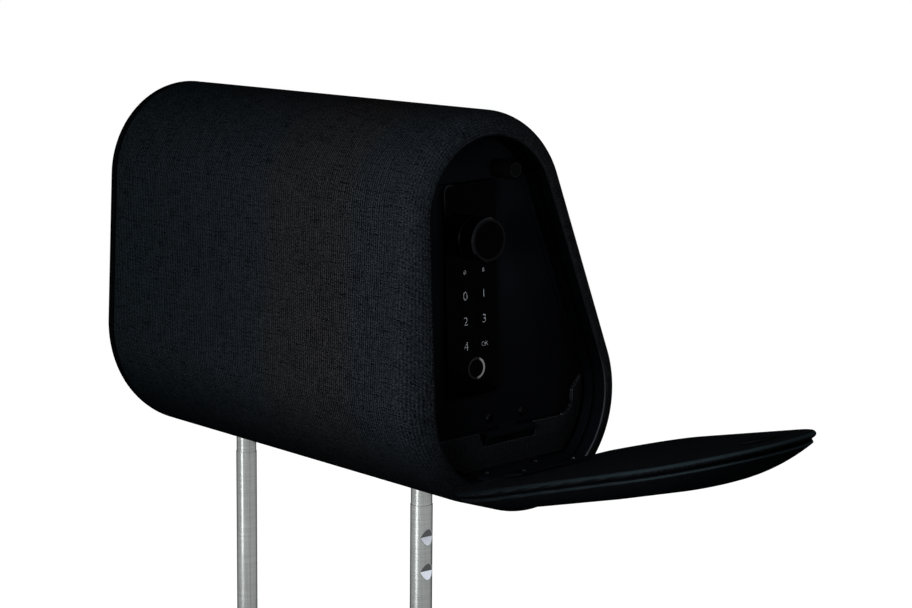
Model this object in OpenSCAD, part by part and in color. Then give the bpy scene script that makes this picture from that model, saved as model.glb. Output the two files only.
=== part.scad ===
// Car headrest on two posts that hides a steel safe behind a padded flap in its end.
// X runs along the headrest towards the flap, Z up its height, and -Y is its flat face.
// The origin is on the underside, midway between the posts.

/* [Padded body] */
// Length of the headrest, end to end at the rolled rims
body_l = 292; // [240:1:340]
// Crown of the cross-section: centre along Y
crown_y = 4.5; // [0:0.5:9]
// Crown of the cross-section: centre height
crown_z = 161; // [150:0.5:175]
// Crown of the cross-section: radius
crown_r = 56.5; // [54:0.5:60]
// Foot on the flat side: centre along Y
flat_y = 10; // [7:0.5:12]
// Foot on the flat side: centre height
flat_z = 70.5; // [69:0.5:73]
// Foot on the flat side: radius
flat_r = 69.5; // [67:0.5:71]
// Foot on the sloping side: centre along Y
slope_y = 35; // [33:0.5:38]
// Foot on the sloping side: centre height
slope_z = 54.5; // [53:0.5:57]
// Foot on the sloping side: radius
slope_r = 63; // [62:0.5:66]
// Thickness of the woven cover
cover_t = 1.5; // [1:0.1:1.8]
// Clearance between soft pieces and their neighbours
soft_gap = 0.3; // [0.2:0.05:0.5]
// How far the padding rolls over into the open end
roll_l = 13.3; // [11:0.1:15]
// Radius of the piping sewn round the closed end
piping_r = 2; // [1.5:0.1:2.4]
// Crown of the closed end's panel beyond the foam
end_crown = 10.3; // [8:0.1:13]

/* [Opening] */
// Width of the padded rim over the crown
rim_top = 13.5; // [12:0.5:15]
// Width of the padded rim on the sloping side
rim_slope = 12.5; // [12:0.5:14]
// Opening's corner on the flat side: centre along Y
sill_y = 12.5; // [11:0.5:14]
// Opening's corner on the flat side: centre height
sill_z = 60; // [59:0.5:63]
// Opening's corner on the flat side: radius
sill_r = 50; // [48:0.5:51]
// Depth from the rim to the face of the door
recess_d = 17; // [16:0.5:20]
// Depth of the fabric turned into the opening
turn_in = 9; // [7:0.5:10]

/* [Steel safe] */
// Wall of the safe's rolled body
safe_wall = 2; // [1.5:0.1:3]
// Thickness of the door
door_t = 3.8; // [3:0.1:4.5]
// Gap between door and frame
door_gap = 0.8; // [0.6:0.1:1.2]
// Width of the frame's face beside the door
frame_w = 4.8; // [4:0.1:6]
// Width of the ledge behind the door's edge
ledge_w = 3; // [2:0.1:4]
// Thickness of that ledge
ledge_t = 3; // [2:0.1:4]
// Height of the door's top edge
door_top = 178.5; // [176:0.5:179]
// Height of the door's bottom edge
door_bottom = 40.8; // [40.5:0.1:42]
// Radius of the door's lower corner on the sloping side
corner_r = 8; // [6:0.5:10]
// Thickness of the felt on the safe's floor
mat_t = 3; // [2:0.5:4]

/* [Posts] */
// Radius of the posts
post_r = 6.35; // [5:0.05:7]
// Spacing of the posts, centre to centre
post_pitch = 170; // [150:1:180]
// Length of the posts below the underside
post_l = 160; // [120:1:200]
// Length of the turned neck of the posts under the cover
neck_l = 8; // [7:0.5:12]
// Depth of that neck
neck_d = 0.25; // [0.2:0.05:0.5]
// Lean of the posts against the padded body, in degrees
post_lean = 2.335; // [0:0.1:4]
// Distance of the first height notch below the underside
notch_first = 26.5; // [20:0.5:40]
// Spacing of the height notches
notch_pitch = 20; // [15:0.5:30]
// Number of height notches
notch_count = 2; // [1:1:4]
// Depth of a notch
notch_d = 2; // [1:0.1:2.5]
// Height of a notch
notch_h = 11; // [6:0.5:12]
// Running clearance of shafts and pins in their bores
fit_gap = 0.05; // [0.02:0.01:0.09]
// Radius of the screws that hold the posts
post_screw_r = 3; // [2.5:0.1:3.5]

/* [Hinges] */
// Middle of the door's hinge along Y
door_hinge_y = 25.5; // [22:0.5:27]
// Middle of the flap's hinge along Y
flap_hinge_y = 20; // [18:0.5:24]
// Radius of the hinge pins
pin_r = 1.5; // [1.2:0.1:1.8]
// Thickness of the hinge leaves
leaf_t = 1.4; // [1.2:0.1:1.6]
// Length of the door hinge
door_hinge_l = 34; // [28:1:36]
// Radius of the door hinge's knuckles
door_knuckle_r = 2.4; // [2.2:0.1:2.6]
// Length of the flap hinge
flap_hinge_l = 52; // [44:1:56]
// Radius of the flap hinge's knuckles
flap_knuckle_r = 3; // [2.6:0.1:3.2]
// Radius of the hinge screws' heads
head_r = 2.6; // [2.2:0.1:3]
// Angle from the flap's closed place to the open one, in degrees
flap_open = 74.5; // [60:0.5:74.5]

/* [Keypad and knob] */
// Middle of the keypad along Y
pad_y = 1; // [-1:0.5:3]
// Width of the keypad
pad_w = 36; // [33:0.5:38]
// Height of the keypad's lower edge
pad_z = 62; // [60:0.5:64]
// How far the keypad stands off the door
pad_t = 2; // [1.8:0.1:2.4]
// Corner radius of the keypad
pad_corner = 4; // [2:0.5:6]
// Height of the lowest row of keys
key_z = 89.4; // [88:0.1:91]
// Spacing of the rows of keys
key_row = 13.9; // [12.5:0.1:14]
// Spacing of the two columns of keys
key_column = 13.2; // [12.5:0.1:14]
// Radius of a key
key_r = 4.7; // [4:0.1:4.9]
// Travel of a key
key_travel = 0.6; // [0.3:0.1:0.6]
// Radius of the fingerprint reader's ring
ring_r = 6.1; // [5.5:0.1:6.3]
// Radius of the turning knob
knob_r = 12.1; // [11:0.1:13.5]
// Length of the turning knob
knob_l = 13.7; // [12:0.1:14]
// Height of the turning knob's axis
knob_z = 148.8; // [148:0.1:150]
// Radius of the magnet catch's post
catch_r = 5.3; // [4.5:0.1:6]
// Height of the magnet catch's post
catch_z = 184.5; // [184.5:0.1:188]

/* [Lock] */
// Radius at which the crank pin drives the bolt plate
crank_r = 7; // [6:0.1:7]
// Radius of the crank pin
crank_pin_r = 2; // [1.6:0.1:2.2]
// Depth of the lock's case behind the door
case_d = 29; // [28:0.5:30]
// Wall of the lock's case
case_wall = 1.5; // [1.2:0.1:1.8]
// Radius of a battery cell
cell_r = 5.25; // [5:0.05:5.3]
// Length of a battery cell
cell_l = 44.5; // [40:0.5:45]
// Number of battery cells
cell_count = 4; // [2:1:4]
// Travel of the plunger that blocks the bolt plate
plunger_travel = 3; // [2:0.1:3.2]

/* [Flap] */
// How far the flap stands over the body's outline
flap_over = 1; // [0:0.1:1.5]
// Gap between the closed flap and the rim
flap_gap = 0.5; // [0.4:0.1:0.8]
// Thickness of the flap's lining with its rolled lip
lining_t = 2.8; // [2.4:0.1:3.2]
// Thickness of the flap's stiffening board
board_t = 1.2; // [1:0.1:1.5]
// Crown of the flap's outer pad
flap_crown = 12.7; // [11:0.1:14]
// Width over which the outer pad rises to its crown
flap_rise = 44; // [36:1:48]
// Radius of the welt in the flap's groove
welt_r = 0.7; // [0.5:0.05:0.8]
// Radius of the magnet's keeper plate on the flap
keeper_r = 9; // [6:0.5:10]

/* [Hidden] */
$fn = 48;

// Outlines are three circles in the order sloping foot, crown, flat foot, anticlockwise from +X.
body_c = [[slope_y, slope_z, slope_r], [crown_y, crown_z, crown_r], [flat_y, flat_z, flat_r]];
open_c = [[slope_y, slope_z, slope_r - rim_slope], [crown_y, crown_z, crown_r - rim_top],
    [sill_y, sill_z, sill_r]];
arc_steps = [12, 20, 8];
n_ring = arc_steps[0] + arc_steps[1] + arc_steps[2] + 3;

// Stations along X
x_rim = body_l / 2;
x_roll = x_rim - roll_l;
x_face = x_rim - recess_d;
x_ledge = x_face - door_t - 0.2;
x_turn = x_rim - turn_in;
x_back = -x_rim + end_crown - soft_gap - 1.2;
x_pad = x_face + pad_t;
x_door_in = x_face - door_t;
x_flap = x_rim + flap_gap;
x_board = x_flap + lining_t + 0.2;
x_outer = x_board + board_t + 0.2;

// The liner and the safe share one outline, just outside the opening
liner_t = 1.5;

// Heights inside the recess
block_z = 18;
filler_low = block_z + leaf_t + 0.3;
filler_top = door_bottom - door_gap - 0.2;
filler_t = 2.6;
filler_inset = 4.6;
notch_floor = 31.8;
notch_side = 2;
notch_slant = 3.5;

// Tongue of the filler that runs up beside the door's lower corner
tongue_w = 6.9;
corner_y = slope_y + slope_r - rim_slope - filler_inset - tongue_w - corner_r;
corner_z = door_bottom - door_gap + corner_r;
tongue_foot = corner_z + 5;
tongue_tip = corner_z + 13;

// Hinge axes
door_axis = [x_face + door_knuckle_r + 0.1, door_bottom - 3.3];
flap_axis = [x_flap + 8.5, block_z - 6];
leaf_lip = 5.3;
leaf_h = 13;
screw_r = 1.4;
hinge_screw_y = 12;
flap_screw_y = 18;
flap_screw_l = 5;
knuckle_gap = 0.2;
heel_z = flap_axis[1] - 6.4;
heel_rise = 6;
heel_bow = 0.4;
heel_r = flap_axis[0] - x_rim - 0.6;

// Lock
key_y = pad_y + 1.6;
knob_y = pad_y + 0.8;
front_t = 1.2;
flange_w = 0.9;
cutout_half = key_column / 2 + key_r + flange_w + 0.4;
pocket_top = key_z + 3 * key_row + 7.4;
led_z = key_z + 3 * key_row - 0.7;
ring_z = key_z - 12.6;
spindle_r = 4;
bush_wall = 2.5;
cam_t = 3;
cam_r = 10;
plate_t = 3;
x_cam = x_door_in - 0.4 - cam_t;
x_plate = x_cam - 0.3 - plate_t;
bolt_travel = 2 * crank_r * sin(45);
slot_gap = 0.35;
plate_w = 32;
plate_low = knob_z - 29.8;
plate_top = knob_z + 11.2;
bolt_top = door_top - 5.5;
bolt_w = 9;
plunger_z = knob_z - 13.8;
plunger_r = 2;
case_y = [knob_y - 26, knob_y + 34];
case_z = [pad_z, knob_z + 19.2];
x_case = x_door_in - case_d;
cell_pitch = 2 * cell_r + 0.6;
tray_wall = 1.2;
tray_y = knob_y + 1;
tray_z = case_z[0] + 10;
cover_h = cell_l + 8;
catch_y = 21.5;
post_dir = [0, -sin(post_lean), -cos(post_lean)];
neck_r = post_r - neck_d;
block_w = 34;
block_l = 36;
block_top = 32;
post_end = 26;

function shrink(c, d) = [for (k = c) [k[0], k[1], k[2] - d]];

// Directions in which neighbouring circles' common tangents face
function faces(c) = [for (i = [0:len(c) - 1])
    let (a = c[i], b = c[(i + 1) % len(c)], v = [b[0] - a[0], b[1] - a[1]])
    atan2(v[1], v[0]) - acos((a[2] - b[2]) / norm(v))];

// Points round the hull of the circles, as [y, z]
function outline(c, d = 0) =
    let (k = shrink(c, d), f = faces(k), n = len(k))
    [for (i = [0:n - 1])
        let (a = f[(i + n - 1) % n], w = (f[i] - a + 720) % 360)
        for (s = [0:arc_steps[i]])
            let (t = a + w * s / arc_steps[i])
            [k[i][0] + k[i][2] * cos(t), k[i][1] + k[i][2] * sin(t)]];

// A ring of [x, y, z], t of the way from the body's outline to the opening's
function ring(x, d, t = 0, e = 0) =
    let (a = outline(body_c, d), b = outline(open_c, e))
    [for (i = [0:len(a) - 1]) [x, a[i][0] * (1 - t) + b[i][0] * t, a[i][1] * (1 - t) + b[i][1] * t]];

// A ring of the closed flap, whose heel is rounded about the hinge so that it clears the rim
function flap_ring(x, d) =
    let (arc = flap_axis[1] - sqrt(max(0, pow(heel_r, 2) - pow(x - flap_axis[0], 2))),
        low = max(heel_z + min(d * 0.3, heel_rise), x < flap_axis[0] ? arc + d / 2 : -50))
    [for (p = outline(body_c, d - flap_over))
        [x, p[0], max(p[1], low - heel_bow * (1 - pow((p[0] - flap_hinge_y) / 60, 2)))]];

// A solid through rings that run towards +X, or round a wall when it is closed on itself
module loft(rings, closed = false) {
    n = len(rings[0]);
    m = len(rings);
    sides = [for (j = [0:m - (closed ? 1 : 2)], i = [0:n - 1])
        let (a = j * n + i, b = j * n + (i + 1) % n, k = (j + 1) % m, c = k * n + (i + 1) % n, d = k * n + i)
        each [[a, d, c], [a, c, b]]];
    caps = closed ? [] : [[for (i = [0:n - 1]) i], [for (i = [n - 1:-1:0]) (m - 1) * n + i]];
    polyhedron([for (r = rings) each r], concat(sides, caps));
}

// A round cord along a ring of the body's or the flap's outline
module cord(path, r, sides = 6) {
    n = len(path);
    rings = [for (i = [0:n - 1])
        let (v = path[(i + 1) % n] - path[(i + n - 1) % n], u = v / norm(v), out = [0, u[2], -u[1]])
        [for (s = [0:sides - 1]) path[i] + r * cos(360 * s / sides) * out
            + [r * sin(360 * s / sides), 0, 0]]];
    sides_f = [for (j = [0:n - 1], i = [0:sides - 1])
        let (a = j * sides + i, b = j * sides + (i + 1) % sides, k = (j + 1) % n,
            c = k * sides + (i + 1) % sides, d = k * sides + i)
        each [[a, c, d], [a, b, c]]];
    polyhedron([for (q = rings) each q], sides_f);
}

// Extrudes a drawing in Y and Z from x0 to x1
module across(x0, x1) {
    translate([x0, 0, 0])
    rotate([90, 0, 90])
    linear_extrude(x1 - x0)
    children();
}

// Extrudes a drawing in X and Z from y0 to y1
module along(y0, y1) {
    translate([0, y1, 0])
    rotate([90, 0, 0])
    linear_extrude(y1 - y0)
    children();
}

module rod_x(x0, x1, y, z, r) {
    translate([x0, y, z])
    rotate([0, 90, 0])
    cylinder(h = x1 - x0, r = r);
}

module rod_y(y0, y1, x, z, r) {
    translate([x, y0, z])
    rotate([-90, 0, 0])
    cylinder(h = y1 - y0, r = r);
}

module block(x, y, z) {
    translate([x[0], y[0], z[0]])
    cube([x[1] - x[0], y[1] - y[0], z[1] - z[0]]);
}

// A rectangle in Y and Z with true round corners
module round_rect(y, z, r) {
    translate([y[0] + r, z[0]])
    square([y[1] - y[0] - 2 * r, z[1] - z[0]]);
    translate([y[0], z[0] + r])
    square([y[1] - y[0], z[1] - z[0] - 2 * r]);
    for (a = [y[0] + r, y[1] - r], b = [z[0] + r, z[1] - r])
        translate([a, b])
        circle(r);
}

module opening_shape(e) {
    polygon(outline(open_c, e));
}

// The part of the opening's outline between two heights
module opening_band(e, z0, z1) {
    intersection() {
        opening_shape(e);
        translate([-300, z0])
        square([600, z1 - z0]);
    }
}

// A screw along X with a domed head at x, its shank running towards -X
module screw_x(x, y, z, shank) {
    rod_x(x - shank, x + 0.01, y, z, screw_r);
    translate([x, y, z])
    rotate([0, 90, 0])
    cylinder(h = 0.9, r1 = head_r, r2 = head_r - 0.8);
}

// Moves a piece drawn on the closed flap to the flap's open place
module on_flap() {
    translate([flap_axis[0], 0, flap_axis[1]])
    rotate([0, flap_open, 0])
    translate([-flap_axis[0], 0, -flap_axis[1]])
    children();
}

// The rolled rim, from its outer line to the wall of the opening
function roll(x_in, d, steps = 5) = concat(
    [for (k = [0:steps]) let (a = 90 * k / steps)
        ring(x_roll + (roll_l - x_in) * sin(a), d, 0.86 * (1 - cos(a)), -d)],
    [for (k = [1:3]) let (a = 90 * k / 3)
        ring(x_rim - x_in - 2 * (1 - cos(a)), d, 0.86 + 0.14 * sin(a), -d)]);

module fabric_cover() {
    outer = concat([ring(x_back - 2.4, 2.2), ring(x_back - 1, 0.7), ring(x_back + 2.2, 0)],
        roll(0, 0), [ring(x_turn, 0, 1, 0)]);
    inner = concat([ring(x_turn, cover_t, 1, -cover_t)],
        [for (i = [8:-1:0]) roll(cover_t, cover_t)[i]],
        [ring(x_back + 2.2, cover_t), ring(x_back - 1, cover_t + 0.7), ring(x_back - 2.4, cover_t + 2.2)]);
    color([0.07, 0.08, 0.09])
    difference() {
        loft(concat(outer, inner), true);
        post_holes(0.6);
    }
}

module foam_core() {
    d = cover_t + soft_gap;
    inner = -liner_t - soft_gap;
    color([0.25, 0.25, 0.26])
    difference() {
        loft(concat([ring(x_back, d + 0.7)], roll(d, d), [ring(x_back, 0, 1, inner)]), true);
        post_holes(0.6);
    }
}

// Holes for the posts through padding and floor
module post_holes(gap) {
    for (side = [-1, 1])
        translate([side * post_pitch / 2, 0, 0])
        rotate([-post_lean, 0, 0])
        translate([0, 0, -20])
        cylinder(h = 50, r = post_r + gap);
}

module end_panel() {
    edge = 2 * piping_r + 1;
    x0 = x_back - soft_gap;
    color([0.06, 0.07, 0.08])
    loft([ring(x0 - end_crown, 46), ring(x0 - end_crown + 0.4, 30), ring(x0 - end_crown + 1.4, 16),
        ring(x0 - end_crown + 3.2, edge + 3), ring(x0 - end_crown + 5.2, edge), ring(x0, edge)]);
}

module end_piping() {
    color([0.08, 0.09, 0.1])
    cord(ring(x_back - 4.8, piping_r + 0.6), piping_r, 8);
}

module recess_liner() {
    color([0.04, 0.04, 0.05])
    across(x_face, x_turn - soft_gap)
    difference() {
        opening_shape(-liner_t);
        opening_shape(0);
    }
}

// Block at the foot of the recess, to which the flap's hinge is screwed
module hinge_block() {
    color([0.03, 0.03, 0.03])
    difference() {
        across(x_face, x_rim - 3)
        opening_band(soft_gap, -50, block_z);
        for (s = [-1, 1])
            translate([x_face + 8.5, flap_hinge_y + s * flap_screw_y, block_z - flap_screw_l - 0.5])
            cylinder(h = 12, r = screw_r + fit_gap);
    }
}

// Fabric-covered strip across the foot of the recess, notched round the door's hinge
module bottom_filler() {
    half = door_hinge_l / 2 + notch_side;
    color([0.1, 0.11, 0.12])
    difference() {
        across(x_face + soft_gap, x_face + filler_t)
        difference() {
            opening_band(filler_inset, filler_low, tongue_tip);
            difference() {
                opening_band(0, filler_top, tongue_tip + 1);
                door_corner(0.2);
            }
            polygon([[door_hinge_y - half - notch_slant, filler_top + 1], [door_hinge_y - half, notch_floor],
                [door_hinge_y + half, notch_floor], [door_hinge_y + half, filler_top + 1]]);
        }
        for (s = [-1, 1])
            rod_x(x_face, x_face + 1.3, door_hinge_y + s * hinge_screw_y, door_axis[1] - 9,
                head_r + soft_gap);
    }
}

module safe_body() {
    color([0.1, 0.1, 0.11])
    difference() {
        across(x_back, x_face)
        difference() {
            opening_shape(-liner_t);
            opening_shape(safe_wall - liner_t);
        }
        post_holes(0.6);
    }
}

module back_plate() {
    color([0.1, 0.1, 0.11])
    across(x_back, x_back + safe_wall)
    opening_shape(safe_wall - liner_t);
}

// The door's opening in its frame, drawn in by d all round
module door_hole(d, z0, z1) {
    difference() {
        opening_band(frame_w - door_gap + d, z0, z1);
        door_corner(d);
    }
}

// What the door's opening leaves out at its lower corner on the sloping side
module door_corner(d) {
    edge = corner_y + corner_r - d;
    difference() {
        polygon([[corner_y, 0], [edge + 50, 0], [edge + 50, tongue_tip], [edge + tongue_w, tongue_tip],
            [edge, tongue_foot], [edge, corner_z], [corner_y, corner_z]]);
        translate([corner_y, corner_z])
        circle(corner_r - d);
    }
}

module door_frame() {
    color([0.09, 0.09, 0.1])
    difference() {
        union() {
            across(x_ledge, x_face)
            difference() {
                opening_shape(safe_wall - liner_t);
                door_hole(0, door_bottom - door_gap, door_top + door_gap);
            }
            across(x_ledge - ledge_t, x_ledge)
            difference() {
                opening_shape(safe_wall - liner_t);
                door_hole(door_gap + ledge_w, door_bottom + ledge_w, door_top - ledge_w);
            }
        }
        hinge_pocket(door_axis[1] - leaf_h, door_axis[1] - 3.4);
        for (s = [-1, 1])
            rod_x(x_face - 6, x_face + 1, door_hinge_y + s * hinge_screw_y, door_axis[1] - 9,
                screw_r + fit_gap);
        rod_x(x_face - 6, x_face + 1, catch_y, catch_z, screw_r + 0.6 + fit_gap);
    }
}

// Pocket that lets a leaf of the door's hinge lie flush
module hinge_pocket(z0, z1) {
    g = 0.1;
    block([x_face - leaf_t, x_face + 1],
        [door_hinge_y - door_hinge_l / 2 - g, door_hinge_y + door_hinge_l / 2 + g], [z0 - g, z1 + g]);
}

module floor_mat() {
    e = safe_wall - liner_t;
    color([0.16, 0.16, 0.17])
    difference() {
        across(x_back + safe_wall + soft_gap, x_case - 6)
        intersection() {
            difference() {
                opening_shape(e + soft_gap);
                opening_shape(e + soft_gap + mat_t);
            }
            translate([-28, -20])
            square([100, 56]);
        }
        for (side = [-1, 1])
            block([side * post_pitch / 2 - block_l / 2 - 1, side * post_pitch / 2 + block_l / 2 + 1],
                [-block_w / 2 - 1, block_w / 2 + 3], [-20, 60]);
    }
}

// A post, leaning about its place on the underside
module post(notched) {
    color([0.72, 0.73, 0.74])
    rotate([-post_lean, 0, 0])
    difference() {
        union() {
            translate([0, 0, -post_l + 2])
            cylinder(h = post_l - 2 - neck_l, r = post_r);
            translate([0, 0, -neck_l - 1])
            cylinder(h = post_end + neck_l + 1, r = neck_r);
            translate([0, 0, -post_l])
            cylinder(h = 2, r1 = post_r - 1.6, r2 = post_r);
        }
        translate([0, 0, post_end - 16])
        cylinder(h = 20, r = post_screw_r);
        if (notched)
            for (k = [0:notch_count - 1])
                along(-2 * post_r, 2 * post_r)
                polygon([[post_r - notch_d, -notch_first - k * notch_pitch],
                    [post_r + 1, -notch_first - k * notch_pitch + notch_h * (0.5 + 0.5 / notch_d)],
                    [post_r + 1, -notch_first - k * notch_pitch - notch_h * (0.5 + 0.5 / notch_d)]]);
    }
}

module post_left() {
    translate([-post_pitch / 2, 0, 0])
    post(false);
}

module post_right() {
    translate([post_pitch / 2, 0, 0])
    post(true);
}

// Steel blocks on the safe's floor, bored for the posts
module post_blocks() {
    color([0.3, 0.3, 0.31])
    for (side = [-1, 1])
        translate([side * post_pitch / 2, 0, 0])
        difference() {
            across(-block_l / 2, block_l / 2)
            intersection() {
                opening_shape(safe_wall - liner_t);
                translate([-block_w / 2, 0])
                square([block_w + 2, block_top]);
            }
            rotate([-post_lean, 0, 0])
            cylinder(h = post_end, r = neck_r + fit_gap);
            rotate([-post_lean, 0, 0])
            cylinder(h = 2 * block_top, r = post_screw_r + 0.3);
        }
}

module post_screws() {
    color([0.5, 0.5, 0.52])
    for (side = [-1, 1])
        translate([side * post_pitch / 2, 0, 0])
        rotate([-post_lean, 0, 0])
        difference() {
            union() {
                translate([0, 0, post_end - 4 * post_screw_r])
                cylinder(h = block_top - post_end + 4 * post_screw_r + 0.3, r = post_screw_r - fit_gap);
                translate([0, 0, block_top + 0.4])
                cylinder(h = 1.1, r = 2.4 * post_screw_r);
                translate([0, 0, block_top + 1.5])
                cylinder(h = 2 * post_screw_r - 1, r = 1.7 * post_screw_r);
            }
            translate([0, 0, block_top + 3.5])
            cylinder(h = 20, r = 0.9 * post_screw_r, $fn = 6);
        }
}

// Drawing of a door hinge's knuckle with the lip that joins it to its leaf; up is 1 or -1
module door_knuckle(up) {
    difference() {
        union() {
            translate(door_axis)
            circle(door_knuckle_r);
            polygon([for (p = [[-door_knuckle_r, 0], [-door_knuckle_r, leaf_lip],
                [leaf_t - door_knuckle_r, leaf_lip], [0, door_knuckle_r]])
                [door_axis[0] + p[0], door_axis[1] + up * p[1]]]);
        }
        translate(door_axis)
        circle(pin_r + fit_gap);
    }
}

module door_leaf(up) {
    y0 = door_hinge_y - door_hinge_l / 2;
    third = door_hinge_l / 3;
    g = knuckle_gap / 2;
    spans = up > 0 ? [[y0 + third + g, y0 + 2 * third - g]]
        : [[y0, y0 + third - g], [y0 + 2 * third + g, y0 + door_hinge_l]];
    low = door_axis[1] + up * 3.4;
    high = door_axis[1] + up * leaf_h;
    difference() {
        union() {
            for (s = spans)
                along(s[0], s[1])
                door_knuckle(up);
            for (s = spans)
                block([x_face - leaf_t, x_face + 0.2], s, up > 0 ? [low, low + 2] : [low - 2, low]);
            block([x_face - leaf_t, x_face], [y0, y0 + door_hinge_l], [min(low, high), max(low, high)]);
        }
        for (s = [-1, 1])
            rod_x(x_face - 5, x_face + 1, door_hinge_y + s * hinge_screw_y, door_axis[1] + up * 9,
                screw_r + fit_gap);
    }
}

module door_hinge_frame_leaf() {
    color([0.12, 0.12, 0.13])
    door_leaf(-1);
}

module door_hinge_leaf() {
    color([0.12, 0.12, 0.13])
    door_leaf(1);
}

module door_hinge_pin() {
    half = door_hinge_l / 2;
    color([0.45, 0.45, 0.46])
    rod_y(door_hinge_y - half - 0.8, door_hinge_y + half + 0.8, door_axis[0], door_axis[1], pin_r);
}

module frame_leaf_screws() {
    color([0.55, 0.55, 0.56])
    for (s = [-1, 1])
        screw_x(x_face, door_hinge_y + s * hinge_screw_y, door_axis[1] - 9, 5);
}

module door_leaf_screws() {
    color([0.55, 0.55, 0.56])
    for (s = [-1, 1])
        screw_x(x_face, door_hinge_y + s * hinge_screw_y, door_axis[1] + 9, door_t - 0.3);
}

// Spans of the flap hinge's knuckles along Y: two fixed ones outside one on the flap
flap_y0 = flap_hinge_y - flap_hinge_l / 2;
flap_third = flap_hinge_l / 3;
fixed_spans = [[flap_y0, flap_y0 + flap_third - knuckle_gap / 2],
    [flap_y0 + 2 * flap_third + knuckle_gap / 2, flap_y0 + flap_hinge_l]];
moving_span = [flap_y0 + flap_third + knuckle_gap / 2, flap_y0 + 2 * flap_third - knuckle_gap / 2];

module flap_knuckle(arm) {
    difference() {
        union() {
            translate(flap_axis)
            circle(flap_knuckle_r);
            polygon([for (p = arm) [flap_axis[0] + p[0], flap_axis[1] + p[1]]]);
        }
        translate(flap_axis)
        circle(pin_r + fit_gap);
    }
}

module flap_hinge_fixed_leaf() {
    up = block_z - flap_axis[1];
    edge = x_rim - 1.5;
    color([0.2, 0.2, 0.21])
    difference() {
        union() {
            for (s = fixed_spans)
                along(s[0], s[1])
                flap_knuckle([[edge - 1 - flap_axis[0], up], [-5.1, up], [-2.7, 2.1], [0, 0],
                    [0.8, flap_knuckle_r - 0.1], [-4, up + leaf_t], [edge - 1 - flap_axis[0], up + leaf_t]]);
            block([x_face + 2.5, edge], [flap_y0, flap_y0 + flap_hinge_l], [block_z, block_z + leaf_t]);
        }
        for (s = [-1, 1])
            translate([x_face + 8.5, flap_hinge_y + s * flap_screw_y, block_z - 1])
            cylinder(h = 5, r = screw_r + fit_gap);
    }
}

module flap_hinge_pin() {
    color([0.45, 0.45, 0.46])
    rod_y(flap_y0 - 0.4, flap_y0 + flap_hinge_l + 0.4, flap_axis[0], flap_axis[1], pin_r);
}

module fixed_leaf_screws() {
    color([0.6, 0.6, 0.61])
    for (s = [-1, 1])
        translate([x_face + 8.5, flap_hinge_y + s * flap_screw_y, block_z + leaf_t])
        union() {
            translate([0, 0, -leaf_t - flap_screw_l])
            cylinder(h = leaf_t + flap_screw_l + 0.01, r = screw_r);
            cylinder(h = 0.9, r1 = head_r, r2 = head_r - 0.8);
        }
}

module catch_post() {
    tip = x_flap - 1.3;
    color([0.07, 0.07, 0.08])
    difference() {
        union() {
            rod_x(x_face - 4, x_face + 0.01, catch_y, catch_z, screw_r + 0.6);
            rod_x(x_face, tip - 7.2, catch_y, catch_z, catch_r - 0.5);
            rod_x(tip - 7.2, tip - 0.6, catch_y, catch_z, catch_r);
            translate([tip - 0.6, catch_y, catch_z])
            rotate([0, 90, 0])
            cylinder(h = 0.6, r1 = catch_r, r2 = catch_r - 0.6);
        }
        rod_x(tip - 1.5, tip + 1, catch_y, catch_z, catch_r - 1.4);
    }
}

module catch_magnet() {
    tip = x_flap - 1.3;
    color([0.4, 0.4, 0.42])
    rod_x(tip - 1.5, tip, catch_y, catch_z, catch_r - 1.4 - fit_gap);
}

module door_plate() {
    color([0.09, 0.09, 0.1])
    difference() {
        across(x_door_in, x_face)
        door_hole(door_gap, door_bottom, door_top);
        hinge_pocket(door_axis[1] + 3.4, door_axis[1] + leaf_h);
        for (s = [-1, 1])
            rod_x(x_face - door_t - 1, x_face + 1, door_hinge_y + s * hinge_screw_y, door_axis[1] + 9,
                screw_r + fit_gap);
        rod_x(x_face - 6, x_face + 1, knob_y, knob_z, spindle_r + bush_wall);
        block([x_face - 6, x_face + 1], [key_y - cutout_half, key_y + cutout_half],
            [ring_z - ring_r - 3.9, pocket_top]);
        for (p = case_corners())
            rod_x(x_door_in - 1, x_face - 1, p[0], p[1], screw_r + fit_gap);
    }
}

// Middles of the keys, row by row from the top, as [y, z]
function key_place(i) = [key_y + (i % 2 == 0 ? -0.5 : 0.5) * key_column, key_z + (2 - floor(i / 2)) * key_row];

module keypad_housing() {
    ys = [pad_y - pad_w / 2, pad_y + pad_w / 2];
    color([0.02, 0.02, 0.02])
    difference() {
        union() {
            difference() {
                across(x_face, x_pad)
                round_rect(ys, [pad_z, door_top], pad_corner);
                block([x_face - 1, x_pad - front_t], [ys[0] + 2, ys[1] - 2], [pad_z + 2, pocket_top]);
            }
            for (z = [ring_z - 8, pocket_top - 3.4])
                rod_x(x_face - 2, x_pad - 0.5, key_y, z, 2);
            for (z = [ring_z - 8, pocket_top - 3.4])
                rod_x(x_face - 3.8, x_pad - 0.5, key_y, z, 1.1);
        }
        for (i = [0:5])
            rod_x(x_face - 6, x_pad + 1, key_place(i)[0], key_place(i)[1], key_r + 0.25);
        for (s = [-0.5, 0.5])
            rod_x(x_face - 6, x_pad + 1, key_y + s * key_column, led_z, 1.6 + fit_gap);
        rod_x(x_face - 6, x_pad + 1, key_y, ring_z, ring_r + fit_gap);
        rod_x(x_face - 6, x_pad + 1, knob_y, knob_z, spindle_r + bush_wall);
    }
}

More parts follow.
